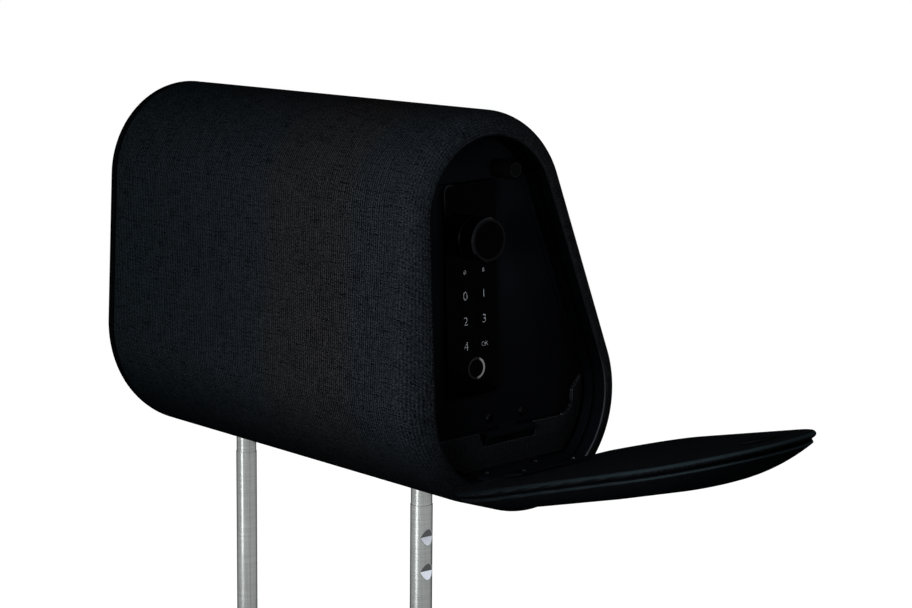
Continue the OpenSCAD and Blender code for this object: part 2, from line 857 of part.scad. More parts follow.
module keypad_board() {
    x0 = x_face - 3.6;
    board_half = key_column / 2 + key_r + 0.2;
    color([0.05, 0.25, 0.12])
    difference() {
        union() {
            block([x0, x0 + 1.6], [key_y - board_half, key_y + board_half],
                [ring_z - ring_r - 3.5, pocket_top - 0.5]);
            for (i = [0:5])
                rod_x(x0 + 1.5, x_pad - front_t - 1.4 - key_travel - 0.1, key_place(i)[0], key_place(i)[1], 2.2);
            for (s = [-0.5, 0.5])
                rod_x(x0 + 1.5, x_pad - 1.6, key_y + s * key_column, led_z, 1.2);
        }
        for (z = [ring_z - 8, pocket_top - 3.4])
            rod_x(x0 - 1, x0 + 3, key_y, z, 1.1 + fit_gap);
    }
}

module led_windows() {
    color([0.75, 0.78, 0.8])
    for (s = [-0.5, 0.5])
        rod_x(x_pad - 1.5, x_pad + 0.05, key_y + s * key_column, led_z, 1.6);
}

module fingerprint_ring() {
    color([0.7, 0.7, 0.72])
    difference() {
        rod_x(x_pad - front_t, x_pad + 0.5, key_y, ring_z, ring_r);
        rod_x(x_pad - 3, x_pad + 2, key_y, ring_z, ring_r - 1.2);
    }
}

module fingerprint_sensor() {
    color([0.03, 0.03, 0.04])
    rod_x(x_face - 2, x_pad + 0.1, key_y, ring_z, ring_r - 1.2 - fit_gap);
}

module key_cap(i) {
    p = key_place(i);
    color([0.04, 0.04, 0.045])
    union() {
        rod_x(x_pad - front_t - 1, x_pad + 0.15, p[0], p[1], key_r);
        rod_x(x_pad - front_t - 1.4, x_pad - front_t - 0.3, p[0], p[1], key_r + flange_w);
    }
}

module key_0() {
    key_cap(0);
}

module key_1() {
    key_cap(1);
}

module key_2() {
    key_cap(2);
}

module key_3() {
    key_cap(3);
}

module key_4() {
    key_cap(4);
}

module key_ok() {
    key_cap(5);
}

module spindle_bush() {
    color([0.7, 0.6, 0.35])
    difference() {
        rod_x(x_door_in, x_pad, knob_y, knob_z, spindle_r + bush_wall - fit_gap);
        rod_x(x_door_in - 1, x_pad + 1, knob_y, knob_z, spindle_r + fit_gap);
    }
}

function case_corners() = [for (y = [case_y[0] + 4, case_y[1] - 4], z = [case_z[0] + 4, case_z[1] - 4]) [y, z]];

module lock_case() {
    w = case_wall;
    color([0.13, 0.13, 0.14])
    difference() {
        union() {
            difference() {
                block([x_case, x_door_in], case_y, case_z);
                block([x_case + w, x_door_in + 1], [case_y[0] + w, case_y[1] - w], [case_z[0] + w, case_z[1] - w]);
            }
            for (p = case_corners())
                rod_x(x_case + 0.5, x_door_in, p[0], p[1], 3);
        }
        block([x_case - 1, x_case + 5], [tray_y - tray_half() + tray_wall, tray_y + tray_half() - tray_wall],
            [tray_z + tray_wall, tray_z + tray_h() - tray_wall]);
        block([x_plate - 1, x_door_in + 1], [knob_y - plate_w / 2 - 1, knob_y + plate_w / 2 + 1],
            [case_z[1] - 3, case_z[1] + 1]);
        for (p = case_corners())
            rod_x(x_case - 1, x_door_in + 1, p[0], p[1], screw_r + fit_gap);
    }
    color([0.13, 0.13, 0.14])
    for (s = [-1, 1])
        translate([0, tray_y + s * (tray_half() + 1.2), 0])
        along_rail(s);
}

// Rail in which the battery cover slides; s is the side it stands on
module along_rail(s) {
    z = [tray_z - 2, tray_z + tray_h() - 2];
    block([x_case - 2.3, x_case + 0.1], s > 0 ? [0, 1.4] : [-1.4, 0], z);
    block([x_case - 3.3, x_case - 2.2], s > 0 ? [-1.4, 1.4] : [-1.4, 1.4], z);
}

function tray_half() = cell_count * cell_pitch / 2 + tray_wall + 0.2;

function tray_h() = cell_l + 2 * tray_wall + 2;

module case_screws() {
    color([0.55, 0.55, 0.56])
    for (p = case_corners())
        mirror([1, 0, 0])
        screw_x(-x_case, p[0], p[1], case_d + 1.5);
}

// Two rings on the door's back in which the bolt plate slides
module bolt_guides() {
    g = 0.15;
    color([0.35, 0.35, 0.37])
    for (z = [[plate_low + bolt_travel + 0.4, plate_low + bolt_travel + 3], [knob_z + cam_r + 0.5, knob_z + cam_r + 4.5]])
        difference() {
            block([x_plate - 2.5, x_door_in], [knob_y - plate_w / 2 - 3, knob_y + plate_w / 2 + 3], z);
            block([x_plate - g, x_plate + plate_t + g], [knob_y - plate_w / 2 - g, knob_y + plate_w / 2 + g],
                [z[0] - 1, z[1] + 1]);
        }
}

module bolt_plate() {
    half = plate_w / 2;
    x = [x_plate, x_plate + plate_t];
    slot_y = knob_y - crank_r - crank_pin_r - 0.5;
    color([0.6, 0.6, 0.62])
    difference() {
        union() {
            block(x, [knob_y - half, knob_y + half], [plate_low, plate_top]);
            for (s = [-1, 1])
                block(x, [knob_y + s * (half - bolt_w / 2) - bolt_w / 2, knob_y + s * (half - bolt_w / 2) + bolt_w / 2],
                    [plate_top - 1, bolt_top]);
        }
        block([x[0] - 1, x[1] + 1], [slot_y, knob_y - crank_r * cos(45) + crank_pin_r + 0.5],
            [knob_z - bolt_travel / 2 - crank_pin_r - slot_gap, knob_z - bolt_travel / 2 + crank_pin_r + slot_gap]);
        for (z = [plunger_z, plunger_z - bolt_travel])
            block([x[0] - 1, x[1] + 1], [knob_y + half - plunger_travel - 0.4, knob_y + half + 1],
                [z - plunger_r - 0.3, z + plunger_r + 0.3]);
    }
}

module solenoid() {
    y0 = knob_y + plate_w / 2 + 3.5;
    x = x_plate + plate_t / 2;
    color([0.2, 0.22, 0.3])
    difference() {
        block([x - 7, x_door_in], [y0, y0 + 12], [plunger_z - 6.5, plunger_z + 6.5]);
        rod_y(y0 - 1, y0 + 11, x, plunger_z, plunger_r + fit_gap);
    }
}

module plunger() {
    y0 = knob_y + plate_w / 2 + 0.3;
    color([0.6, 0.6, 0.62])
    rod_y(y0, y0 + 10, x_plate + plate_t / 2, plunger_z, plunger_r);
}

module battery_tray() {
    x0 = x_case + case_wall;
    color([0.08, 0.08, 0.08])
    difference() {
        block([x0, x0 + 2 * cell_r + 2.4], [tray_y - tray_half(), tray_y + tray_half()],
            [tray_z, tray_z + tray_h()]);
        block([x0 - 1, x0 + 2 * cell_r + 1.2], [tray_y - tray_half() + tray_wall, tray_y + tray_half() - tray_wall],
            [tray_z + tray_wall, tray_z + tray_h() - tray_wall]);
    }
}

module battery_cells() {
    x = x_case + case_wall + cell_r + 0.8;
    color([0.75, 0.5, 0.2])
    for (i = [0:cell_count - 1])
        translate([x, tray_y + (i - (cell_count - 1) / 2) * cell_pitch, tray_z + tray_wall + 0.3])
        union() {
            cylinder(h = cell_l - 1, r = cell_r);
            translate([0, 0, cell_l - 1.01])
            cylinder(h = 1, r = 0.36 * cell_r);
        }
}

module battery_cover() {
    half = tray_half() + 0.9;
    color([0.12, 0.12, 0.13])
    difference() {
        block([x_case - 1.9, x_case - 0.3], [tray_y - half, tray_y + half], [tray_z - 1, tray_z + cover_h]);
        for (k = [0:4])
            block([x_case - 3, x_case - 1.5], [tray_y - 8, tray_y + 8],
                [tray_z + cover_h - 8 - 1.6 * k, tray_z + cover_h - 7.2 - 1.6 * k]);
    }
}

module knob() {
    x0 = x_pad + 0.4;
    x1 = x0 + knob_l;
    color([0.05, 0.05, 0.055])
    difference() {
        translate([x0, knob_y, knob_z])
        rotate([0, 90, 0])
        rotate_extrude()
        polygon([[0, 0], [knob_r - 0.6, 0], [knob_r, 0.6], [knob_r, 2.2], [knob_r - 0.5, 2.8],
            [knob_r - 0.5, knob_l - 2.6], [knob_r, knob_l - 2], [knob_r, knob_l - 0.7],
            [knob_r - 0.7, knob_l], [0, knob_l]]);
        rod_x(x0 - 1, x1 - 4, knob_y, knob_z, spindle_r);
        rod_x(x1 - 0.8, x1 + 1, knob_y, knob_z, knob_r - 2);
    }
}

module knob_cap() {
    x1 = x_pad + 0.4 + knob_l;
    color([0.03, 0.03, 0.03])
    rod_x(x1 - 0.8, x1 - 0.1, knob_y, knob_z, knob_r - 2 - fit_gap);
}

module spindle() {
    color([0.6, 0.6, 0.62])
    rod_x(x_cam, x_pad + 0.4 + knob_l - 4, knob_y, knob_z, spindle_r);
}

// Disc on the spindle whose crank pin drives the bolt plate
module lock_cam() {
    color([0.55, 0.55, 0.57])
    difference() {
        union() {
            rod_x(x_cam, x_cam + cam_t, knob_y, knob_z, cam_r);
            rod_x(x_plate + 0.2, x_cam + 0.1, knob_y - crank_r * cos(45), knob_z - crank_r * sin(45), crank_pin_r);
        }
        rod_x(x_cam - 1, x_cam + cam_t + 1, knob_y, knob_z, spindle_r);
    }
}

// Pocket round the hinge's arms and knuckles, on the closed flap
module flap_pocket() {
    block([x_flap - 3, flap_axis[0] + flap_knuckle_r + 0.8], [flap_y0 - 0.8, flap_y0 + flap_hinge_l + 0.8],
        [heel_z - 5, flap_axis[1] + 9.5]);
}

module flap_outer_pad() {
    rise = [0, 0.03, 0.08, 0.16, 0.27, 0.42, 0.62, 0.85, 1];
    color([0.07, 0.08, 0.09])
    on_flap()
    difference() {
        loft(concat([flap_ring(x_outer, 2.4), flap_ring(x_outer + 0.25, 1.2), flap_ring(x_outer + 0.9, 0.6)],
            [for (t = rise) flap_ring(x_outer + 1.6 + (flap_crown - 1.6) * (1 - pow(1 - t, 2)),
                0.7 + t * flap_rise)]));
        flap_pocket();
    }
}

module flap_lining() {
    x = x_flap;
    color([0.08, 0.09, 0.1])
    on_flap()
    difference() {
        loft([flap_ring(x + 0.7, 32), flap_ring(x + 0.4, 14), flap_ring(x, 5), flap_ring(x + 0.05, 2),
            flap_ring(x + 0.45, 0.6), flap_ring(x + lining_t / 2, 0), flap_ring(x + lining_t - 0.5, 0.6),
            flap_ring(x + lining_t, 2.2)]);
        flap_pocket();
    }
}

module flap_board() {
    color([0.15, 0.15, 0.16])
    on_flap()
    difference() {
        across(x_board, x_board + board_t)
        polygon([for (p = flap_ring(0, 5)) [p[1], max(p[2], heel_z + 4)]]);
        flap_pocket();
    }
}

module flap_welt() {
    x = x_board + board_t / 2;
    color([0.06, 0.07, 0.08])
    on_flap()
    difference() {
        cord(flap_ring(x, 3.4), welt_r);
        flap_pocket();
    }
}

module flap_hinge_leaf() {
    top = flap_axis[1] + 25;
    low = flap_axis[1] + 9.7;
    x0 = x_flap - leaf_t - 0.1;
    color([0.2, 0.2, 0.21])
    on_flap()
    difference() {
        union() {
            along(moving_span[0], moving_span[1])
            flap_knuckle([[x0 - flap_axis[0], 9.7], [x0 - flap_axis[0], 12], [x0 + leaf_t - flap_axis[0], 12],
                [x0 + leaf_t - flap_axis[0] + 0.6, 9.2], [0.6, flap_knuckle_r - 0.1], [0, 0], [-2.4, 1.4]]);
            block([x0, x0 + leaf_t], [flap_y0, flap_y0 + flap_hinge_l], [low, top]);
        }
        for (s = [-1, 1])
            rod_x(x0 - 1, x0 + 4, flap_hinge_y + s * flap_screw_y, low + 6, screw_r + fit_gap);
    }
}

module flap_leaf_screws() {
    x0 = x_flap - leaf_t - 0.1;
    color([0.6, 0.6, 0.61])
    on_flap()
    for (s = [-1, 1])
        mirror([1, 0, 0])
        screw_x(-x0, flap_hinge_y + s * flap_screw_y, flap_axis[1] + 15.7, leaf_t + 0.15);
}

module keeper_plate() {
    color([0.5, 0.5, 0.52])
    on_flap()
    rod_x(x_flap - 0.9, x_flap + 0.15, catch_y, catch_z, keeper_r);
}

fabric_cover();
foam_core();
end_panel();
end_piping();
recess_liner();
hinge_block();
bottom_filler();
safe_body();
back_plate();
door_frame();
floor_mat();
post_left();
post_right();
post_blocks();
post_screws();
door_hinge_frame_leaf();
door_hinge_pin();
frame_leaf_screws();
flap_hinge_fixed_leaf();
flap_hinge_pin();
fixed_leaf_screws();
catch_post();
catch_magnet();
door_plate();
door_hinge_leaf();
door_leaf_screws();
keypad_housing();
keypad_board();
led_windows();
fingerprint_ring();
fingerprint_sensor();
spindle_bush();
lock_case();
case_screws();
bolt_guides();
solenoid();
battery_tray();
battery_cells();
battery_cover();
knob();
knob_cap();
spindle();
lock_cam();
bolt_plate();
plunger();
key_0();
key_1();
key_2();
key_3();
key_4();
key_ok();
flap_outer_pad();
flap_lining();
flap_board();
flap_welt();
flap_hinge_leaf();
flap_leaf_screws();
keeper_plate();
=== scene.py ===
import math

import bmesh
import bpy
from mathutils import Matrix, Vector


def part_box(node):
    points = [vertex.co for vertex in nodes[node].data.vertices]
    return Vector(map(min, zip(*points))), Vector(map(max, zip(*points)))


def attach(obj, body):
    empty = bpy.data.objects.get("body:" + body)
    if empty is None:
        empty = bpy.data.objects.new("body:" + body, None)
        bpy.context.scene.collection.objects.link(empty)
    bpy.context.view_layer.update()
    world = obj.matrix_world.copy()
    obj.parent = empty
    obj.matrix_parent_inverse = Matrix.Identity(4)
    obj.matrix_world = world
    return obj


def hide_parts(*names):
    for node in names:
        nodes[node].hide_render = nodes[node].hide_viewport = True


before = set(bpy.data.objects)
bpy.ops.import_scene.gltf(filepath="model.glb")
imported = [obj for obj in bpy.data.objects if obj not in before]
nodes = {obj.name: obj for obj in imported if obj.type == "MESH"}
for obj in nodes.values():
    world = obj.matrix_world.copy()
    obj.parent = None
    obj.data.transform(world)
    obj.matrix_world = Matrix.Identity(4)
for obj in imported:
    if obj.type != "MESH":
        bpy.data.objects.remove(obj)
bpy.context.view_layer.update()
scene = bpy.context.scene
scene.view_settings.view_transform = "Standard"
print("frame loaded:", len(nodes), "nodes")

view = {
    "place": (1.0515, -0.7916, 0.344),
    "forward": (-0.7491, 0.6356, -0.1871),
    "roll": -1.281,  # degrees
    "lens": 90.39,
    "sensor": 36,
    "near": 0.05,
}


def addCamera():
    ahead = Vector(view["forward"]).normalized()
    right = ahead.cross(Vector((0, 0, 1))).normalized()
    up = right.cross(ahead)
    turn = math.radians(view["roll"])
    rolledRight = right * math.cos(turn) + up * math.sin(turn)
    rolledUp = up * math.cos(turn) - right * math.sin(turn)
    lens = bpy.data.cameras.new("camera")
    lens.lens = view["lens"]
    lens.sensor_width = view["sensor"]
    lens.clip_start = view["near"]
    camera = bpy.data.objects.new("camera", lens)
    scene.collection.objects.link(camera)
    axes = Matrix((rolledRight, rolledUp, -ahead)).transposed().to_4x4()
    camera.matrix_world = Matrix.Translation(view["place"]) @ axes
    scene.camera = camera


addCamera()


class Sock:
    # the output of a node, for sums with other outputs and with numbers
    def __init__(self, board, out):
        self.board, self.out = board, out

    def calc(self, operation, a, b=None):
        terms = {0: a} if b is None else {0: a, 1: b}
        return self.board.node("ShaderNodeMath", {"operation": operation}, terms)

    def __add__(self, other):
        return self.calc("ADD", self, other)

    __radd__ = __add__

    def __mul__(self, other):
        return self.calc("MULTIPLY", self, other)

    __rmul__ = __mul__

    def __sub__(self, other):
        return self.calc("SUBTRACT", self, other)

    def __rsub__(self, other):
        return self.calc("SUBTRACT", other, self)

    def sine(self):
        return self.calc("SINE", self)

    def size(self):
        return self.calc("ABSOLUTE", self)

    def root(self):
        return self.calc("POWER", self, 0.5)

    def above(self, other):
        return self.calc("GREATER_THAN", self, other)

    def most(self, other):
        return self.calc("MAXIMUM", self, other)

    def within(self, low, high):
        return self.calc("MINIMUM", self.most(low), high)

    def rise(self, start, slope, top=1):
        return ((self - start) * slope).within(0, top)

    def fall(self, start, slope, top=1):
        return ((start - self) * slope).within(0, top)


class Board:
    # the node tree of a material or of the world
    def __init__(self, owner):
        owner.use_nodes = True
        self.tree = owner.node_tree
        self.tree.nodes.clear()

    def node(self, kind, settings=None, values=None, out=0):
        made = self.tree.nodes.new(kind)
        for key, value in (settings or {}).items():
            setattr(made, key, value)
        for key, value in (values or {}).items():
            self.put(made.inputs[key], value)
        if out == "all":
            return [Sock(self, socket) for socket in made.outputs]
        return Sock(self, made.outputs[out]) if len(made.outputs) else made

    def put(self, socket, value):
        if isinstance(value, Sock):
            self.tree.links.new(value.out, socket)
        elif socket.type == "RGBA" and len(value) == 3:
            socket.default_value = (*value, 1)
        else:
            socket.default_value = value

    def place(self, source="Object", scale=(1, 1, 1)):
        where = self.node("ShaderNodeTexCoord", out=source)
        return self.node("ShaderNodeMapping", None, {0: where, "Scale": scale})

    def axes(self, where):
        return self.node("ShaderNodeSeparateXYZ", None, {0: where}, "all")

    def join(self, x, y, z):
        return self.node("ShaderNodeCombineXYZ", None, {0: x, 1: y, 2: z})

    def cloud(self, where, scale, detail=2, rough=0.5):
        values = {0: where, "Scale": scale, "Detail": detail, "Roughness": rough}
        return self.node("ShaderNodeTexNoise", None, values)

    def blend(self, amount, first, second):
        return self.node("ShaderNodeMix", {"data_type": "RGBA"}, {0: amount, 6: first, 7: second}, 2)

    def mottled(self, amount, colour, low, high):
        return self.blend(amount, tuple(c * low for c in colour), tuple(c * high for c in colour))

    def ramp(self, value, stops):
        made = self.node("ShaderNodeValToRGB", None, {0: value})
        elements = made.out.node.color_ramp.elements
        while len(elements) < len(stops):
            elements.new(0.5)
        for element, (at, grey) in zip(elements, stops):
            element.position = at
            element.color = (grey, grey, grey, 1)
        return made

    def bump(self, height, depth, strength):
        return self.node("ShaderNodeBump", None, {"Height": height, "Distance": depth, "Strength": strength})

    def seenAsBackground(self):
        # 1 where the eye, a mirror or a glass looks, and 0 where light is gathered
        ways = ("Is Camera Ray", "Is Glossy Ray", "Is Transmission Ray")
        eye, mirror, glass = (self.node("ShaderNodeLightPath", out=way) for way in ways)
        return eye.most(mirror).most(glass)


class Finish(Board):
    def __init__(self, name, **fixed):
        self.mat = bpy.data.materials.new(name)
        super().__init__(self.mat)
        self.look = self.node("ShaderNodeBsdfPrincipled")
        self.node("ShaderNodeOutputMaterial", None, {0: self.look})
        self.give(fixed)

    def give(self, values):
        for key, value in values.items():
            self.put(self.look.out.node.inputs[key], value)
        return self.mat


def faceOf(box):
    # the middle of a box's face toward the open end, with half its width and half its height
    low, high = box
    return {
        "x": high.x, "y": (low.y + high.y) / 2, "z": (low.z + high.z) / 2,
        "half": (high.y - low.y) / 2, "tall": (high.z - low.z) / 2,
    }


dull = {"Specular IOR Level": 0.0}

# pitch of the threads across and along the length, in metres, and how uneven the yarn is
coarse = {"across": 0.0018, "along": 0.00125, "slub": 0.5}
fine = {"across": 0.0013, "along": 0.00125, "slub": 0.5}
cloths = {
    "cover": {**coarse, "slub": 1.0, "dark": (0.0010, 0.0014, 0.0019), "light": (0.0215, 0.0262, 0.0315)},
    "flapOuter": {**coarse, "dark": (0.0024, 0.0032, 0.0042), "light": (0.0125, 0.0155, 0.0190)},
    "lining": {**fine, "dark": (0.0012, 0.0015, 0.0019), "light": (0.0100, 0.0118, 0.0140)},
    "filler": {**fine, "dark": (0.0026, 0.0029, 0.0033), "light": (0.0125, 0.0137, 0.0156)},
    "fold": {**fine, "dark": (0.045, 0.05, 0.057), "light": (0.15, 0.164, 0.182)},  # pale, as a painted highlight on the filler's rounded edges
    # the groove cloth is dark as painted shade in the seam at the closed end
    "groove": {**fine, "slub": 0.3, "dark": (0.0004, 0.0005, 0.0007), "light": (0.0016, 0.0018, 0.0022)},
    "piping": {**fine, "slub": 0.3, "dark": (0.0004, 0.0005, 0.0007), "light": (0.0034, 0.0040, 0.0050)},
}
weaving = {
    # clouds as (across, along, lift, detail, rough)
    "runs": (80, 800, 0.0, 3, 0.6), "picks": (720, 110, 4.0, 3, 0.6),
    "knots": (900, 1100, 7.0, 1, 0.6), "patches": (14, 26, 9.0, 2, 0.5),
    "runSlub": 0.55, "pickSlub": 0.6, "knotSlub": 1.7,
    "threadTone": 0.12, "knotTone": 0.5, "middleTone": 0.42, "dashTone": 0.14, "patchTone": 0.08,
    "slant": 0.3, "crossing": 5, "bendAcross": 5, "bendAlong": 4, "dashFrom": 0.44, "dashSlope": 9,
    "stops": ((0.0, 0.0), (0.45, 0.36), (1.0, 1.0)),
    "rough": 0.8, "threadRough": 0.04, "threadHeight": 0.35, "slubHeight": 0.8, "depth": 0.00022, "strength": 0.7,
}
coverZones = {
    "calmFrom": 0.262, "calmSlope": 60, "calm": 0.65,  # drawn tight at the rim, so fewer cross threads show
    "warm": (0.0265, 0.0258, 0.0268),  # a little browner round the middle and above the rim's foot
    "middle": 0.201, "middleSlope": 24.5, "middleTop": 1.3, "warmShare": 0.85,
    "rimFrom": 0.268, "rimSlope": 80, "rimTop": 0.8, "rimBelow": 0.3, "rimFade": 12,
    "cool": (0.0185, 0.0268, 0.0320), "coolBelow": 0.13, "coolSlope": 11,  # greener at the closed end
    "footBelow": 0.062, "footSlope": 16, "footTop": 0.62,  # painted shade, darker toward the foot
}


def coverTint(f, u, v, cloth):
    zone = coverZones
    fromMiddle = (u - zone["middle"]) * zone["middleSlope"]
    middle = (zone["middleTop"] - fromMiddle * fromMiddle).within(0, 1)
    rim = u.rise(zone["rimFrom"], zone["rimSlope"], zone["rimTop"]) * v.fall(zone["rimBelow"], zone["rimFade"])
    closedEnd = u.fall(zone["coolBelow"], zone["coolSlope"])
    paintedFootShade = f.axes(f.place())[2].fall(zone["footBelow"], zone["footSlope"], zone["footTop"])
    pale = f.blend(closedEnd, cloth["light"], zone["cool"])
    pale = f.blend(middle.most(rim) * zone["warmShare"], pale, zone["warm"])
    return f.blend(paintedFootShade, pale, cloth["dark"])


def weave(name, cloth, source="UV", zoned=False):
    f = Finish(name, **dull)
    u, v, w = f.axes(f.place(source))
    if source == "Object":
        u, v = v, w + u * weaving["slant"]

    def yarn(across, along, lift, detail, rough):
        return f.cloud(f.join(u * across, v * along, lift), 1.0, detail, rough)

    runs, picks, knots, patches = (yarn(*weaving[kind]) for kind in ("runs", "picks", "knots", "patches"))
    across = 2 * math.pi / cloth["across"]
    along = 2 * math.pi / cloth["along"]
    crosswise = (u * across + picks * weaving["bendAcross"]).sine()
    lengthwise = (v * along + runs * weaving["bendAlong"]).sine()
    over = ((u * (across / 2)).sine() * (v * (along / 2)).sine() * weaving["crossing"] + 0.5).within(0, 1)
    if zoned:
        crosswise = crosswise * (1 - u.rise(coverZones["calmFrom"], coverZones["calmSlope"], coverZones["calm"]))
    threads = over * lengthwise + (1 - over) * crosswise
    dashes = runs.fall(weaving["dashFrom"], weaving["dashSlope"])
    slub = (runs - 0.5) * weaving["runSlub"] + (picks - 0.5) * weaving["pickSlub"]
    slub = slub + (knots - 0.5) * weaving["knotSlub"]
    shade = threads * weaving["threadTone"] + crosswise * (knots * weaving["knotTone"]) + weaving["middleTone"]
    shade = shade + slub * cloth["slub"] - dashes * (weaving["dashTone"] * cloth["slub"])
    shade = shade + (patches - 0.5) * weaving["patchTone"]
    height = threads * weaving["threadHeight"] + slub * weaving["slubHeight"]
    pale = coverTint(f, u, v, cloth) if zoned else cloth["light"]
    return f.give({
        "Base Color": f.blend(f.ramp(shade, weaving["stops"]), cloth["dark"], pale),
        "Roughness": threads * weaving["threadRough"] + weaving["rough"],
        "Normal": f.bump(height, weaving["depth"], weaving["strength"]),
    })


felt = {
    "dark": (0.0004, 0.0005, 0.0007), "light": (0.0026, 0.0033, 0.0047),
    "nap": 900, "napTone": 0.6, "patches": 40, "patchTone": 0.8,
    # painted light toward the foot of the recess, painted shade above it
    "litBelow": 0.085, "litSlope": 25, "litLeast": 0.12,
    "rough": 0.85, "napRough": 0.1, "depth": 0.0001, "strength": 0.5,
}
lip = {
    # the lip's pale cloth is a painted highlight
    "dark": (0.0020, 0.0029, 0.0036), "light": (0.0125, 0.0200, 0.0235),
    "from": 0.195, "reach": 0.145,  # metres along x
    "nap": 400, "napTone": 0.4, "farTone": 0.7, "nearTone": 0.04, "rough": 0.75, "napRough": 0.1,
}
fold = {
    # the fold's pale cloth near the foot of the opening is a painted highlight
    "dark": (0.0045, 0.0054, 0.0066), "light": (0.036, 0.040, 0.047),
    "below": 0.078, "behind": -0.01, "slope": 30,
    "fleck": 500, "fleckTone": 0.8, "leastTone": 0.5, "rough": 0.8, "fleckRough": 0.1,
}


def feltedLiner():
    # short nap, with painted light making it lighter toward the foot of the recess and painted shade keeping it dark
    # above
    f = Finish("recessCloth", **dull)
    where = f.place()
    height = f.axes(where)[2]
    nap = f.cloud(where, felt["nap"], 2)
    patches = f.cloud(where, felt["patches"], 3)
    lighter = ((felt["litBelow"] - height) * felt["litSlope"]).within(felt["litLeast"], 1)
    tone = lighter * (nap * felt["napTone"] + patches * felt["patchTone"])
    return f.give({
        "Base Color": f.blend(tone, felt["dark"], felt["light"]),
        "Roughness": nap * felt["napRough"] + felt["rough"],
        "Normal": f.bump(nap, felt["depth"], felt["strength"]),
    })


def paintedLipHighlight():
    # drawn tight over the edge, so no thread shows, and paler away from the hinge as a painted highlight on the lip's
    # roll
    f = Finish("flapLipCloth", **dull)
    where = f.place()
    far = f.axes(where)[0].rise(lip["from"], 1 / lip["reach"])
    nap = f.cloud(where, lip["nap"], 2)
    tone = far * (nap * lip["napTone"] + lip["farTone"]) + lip["nearTone"]
    return f.give({
        "Base Color": f.blend(tone, lip["dark"], lip["light"]),
        "Roughness": nap * lip["napRough"] + lip["rough"],
    })


def paintedFoldHighlight():
    # painted highlight: the fold between the cover and the liner is paler near the foot of the opening
    f = Finish("rimFold", **dull)
    where = f.place()
    x, y, z = f.axes(where)
    low = z.fall(fold["below"], fold["slope"]) * y.rise(fold["behind"], fold["slope"])
    fleck = f.cloud(where, fold["fleck"], 2)
    return f.give({
        "Base Color": f.blend(low * (fleck * fold["fleckTone"] + fold["leastTone"]), fold["dark"], fold["light"]),
        "Roughness": fleck * fold["fleckRough"] + fold["rough"],
    })


coverMat = weave("wovenCover", cloths["cover"], zoned=True)
endMat = weave("endCloth", cloths["cover"])
flapOuterMat = weave("flapOuterCloth", cloths["flapOuter"])
liningMat = weave("flapLiningCloth", cloths["lining"])
fillerMat = weave("fillerCloth", cloths["filler"], "Object")
fillerEdgeHighlightMat = weave("fillerEdgeHighlight", cloths["fold"], "Object")
grooveMat = weave("grooveCloth", cloths["groove"])
pipingMat = weave("pipingCloth", cloths["piping"])
linerMat = feltedLiner()
lipMat = paintedLipHighlight()
rimFoldMat = paintedFoldHighlight()
print("cloth ready")

coats = {
    # the safe's coat is darkened toward the foot as painted shade
    "safeCoat": {"colour": (0.0036, 0.0042, 0.0060), "fade": 0.72},
    "hingeCoat": {
        "colour": (0.0022, 0.0025, 0.0034), "grain": 1400, "depth": 0.00003, "rough": 0.4, "level": 0.0,
    },
    "safeInnerCoat": {"colour": (0.005, 0.0055, 0.0066)},
    "feltMat": {"colour": (0.03, 0.03, 0.033), "grain": 1600, "depth": 0.0004, "rough": 0.9},
    "openFoam": {"colour": (0.12, 0.12, 0.125), "grain": 700, "depth": 0.0006, "rough": 0.9},
}
plastics = {
    "coatedKeeper": {"colour": (0.0032, 0.0036, 0.0044), "rough": 0.7, "level": 0.0},
    "mattPlastic": {
        "colour": (0.0013, 0.0013, 0.0015), "rough": 0.5, "level": 0.0, "grain": 1400, "depth": 0.00005,
    },
    "keyPlastic": {"colour": (0.00022, 0.00022, 0.00026), "rough": 0.16, "level": 0.006},
    "knobCap": {"colour": (0.0003, 0.0003, 0.00036), "rough": 0.14, "level": 0.005},
    "solderMask": {"colour": (0.004, 0.045, 0.014), "rough": 0.3, "level": 0.4},
    "sensorGlass": {"colour": (0.0002, 0.0002, 0.0003), "rough": 0.06, "level": 0.005},
    "indicatorWindow": {"colour": (0.00022, 0.00022, 0.00026), "rough": 0.12, "level": 0.006},
    "cellWrap": {"colour": (0.35, 0.13, 0.02), "rough": 0.3, "level": 0.5},
    "whitePrint": {"colour": (0.32, 0.34, 0.37), "rough": 0.5, "level": 0.05},
    "greyPrint": {"colour": (0.18, 0.19, 0.205), "rough": 0.5, "level": 0.05},
}
metals = {
    "blackScrew": {"colour": (0.0042, 0.0042, 0.0048), "streak": (200, 200, 200), "rough": 0.12},
    "bareSteel": {"colour": (0.45, 0.46, 0.47), "streak": (60, 60, 60), "rough": 0.32},
    "pinSteel": {"colour": (0.004, 0.0045, 0.005), "streak": (400, 10, 400), "rough": 0.35},
    "turnedBrass": {"colour": (0.62, 0.48, 0.2), "streak": (700, 30, 30), "rough": 0.25},
}
# painted shade toward the foot of a coat
paintedFootShading = {"below": 0.135, "slope": 14, "dark": (0.0004, 0.0004, 0.0006)}
# how much each finish varies, as shares of its colour and of its roughness
coating = {"patches": 14, "dim": 0.8, "pale": 1.35, "grainRough": 0.12, "strength": 0.6}
moulding = {
    "smear": (45, 4, 0.65), "dim": 0.85, "pale": 1.2, "smearRough": 0.35, "leastRough": 0.85, "strength": 0.4,
}
drawing = {
    "streaks": 6, "streakTone": 0.6, "rings": (12, 12, 900), "ringTone": 0.4, "patches": 18, "patchTone": 0.25,
    "markTone": 0.7, "dim": 0.78, "pale": 1.18, "markRough": 0.2, "depth": 0.00002, "strength": 0.5,
}


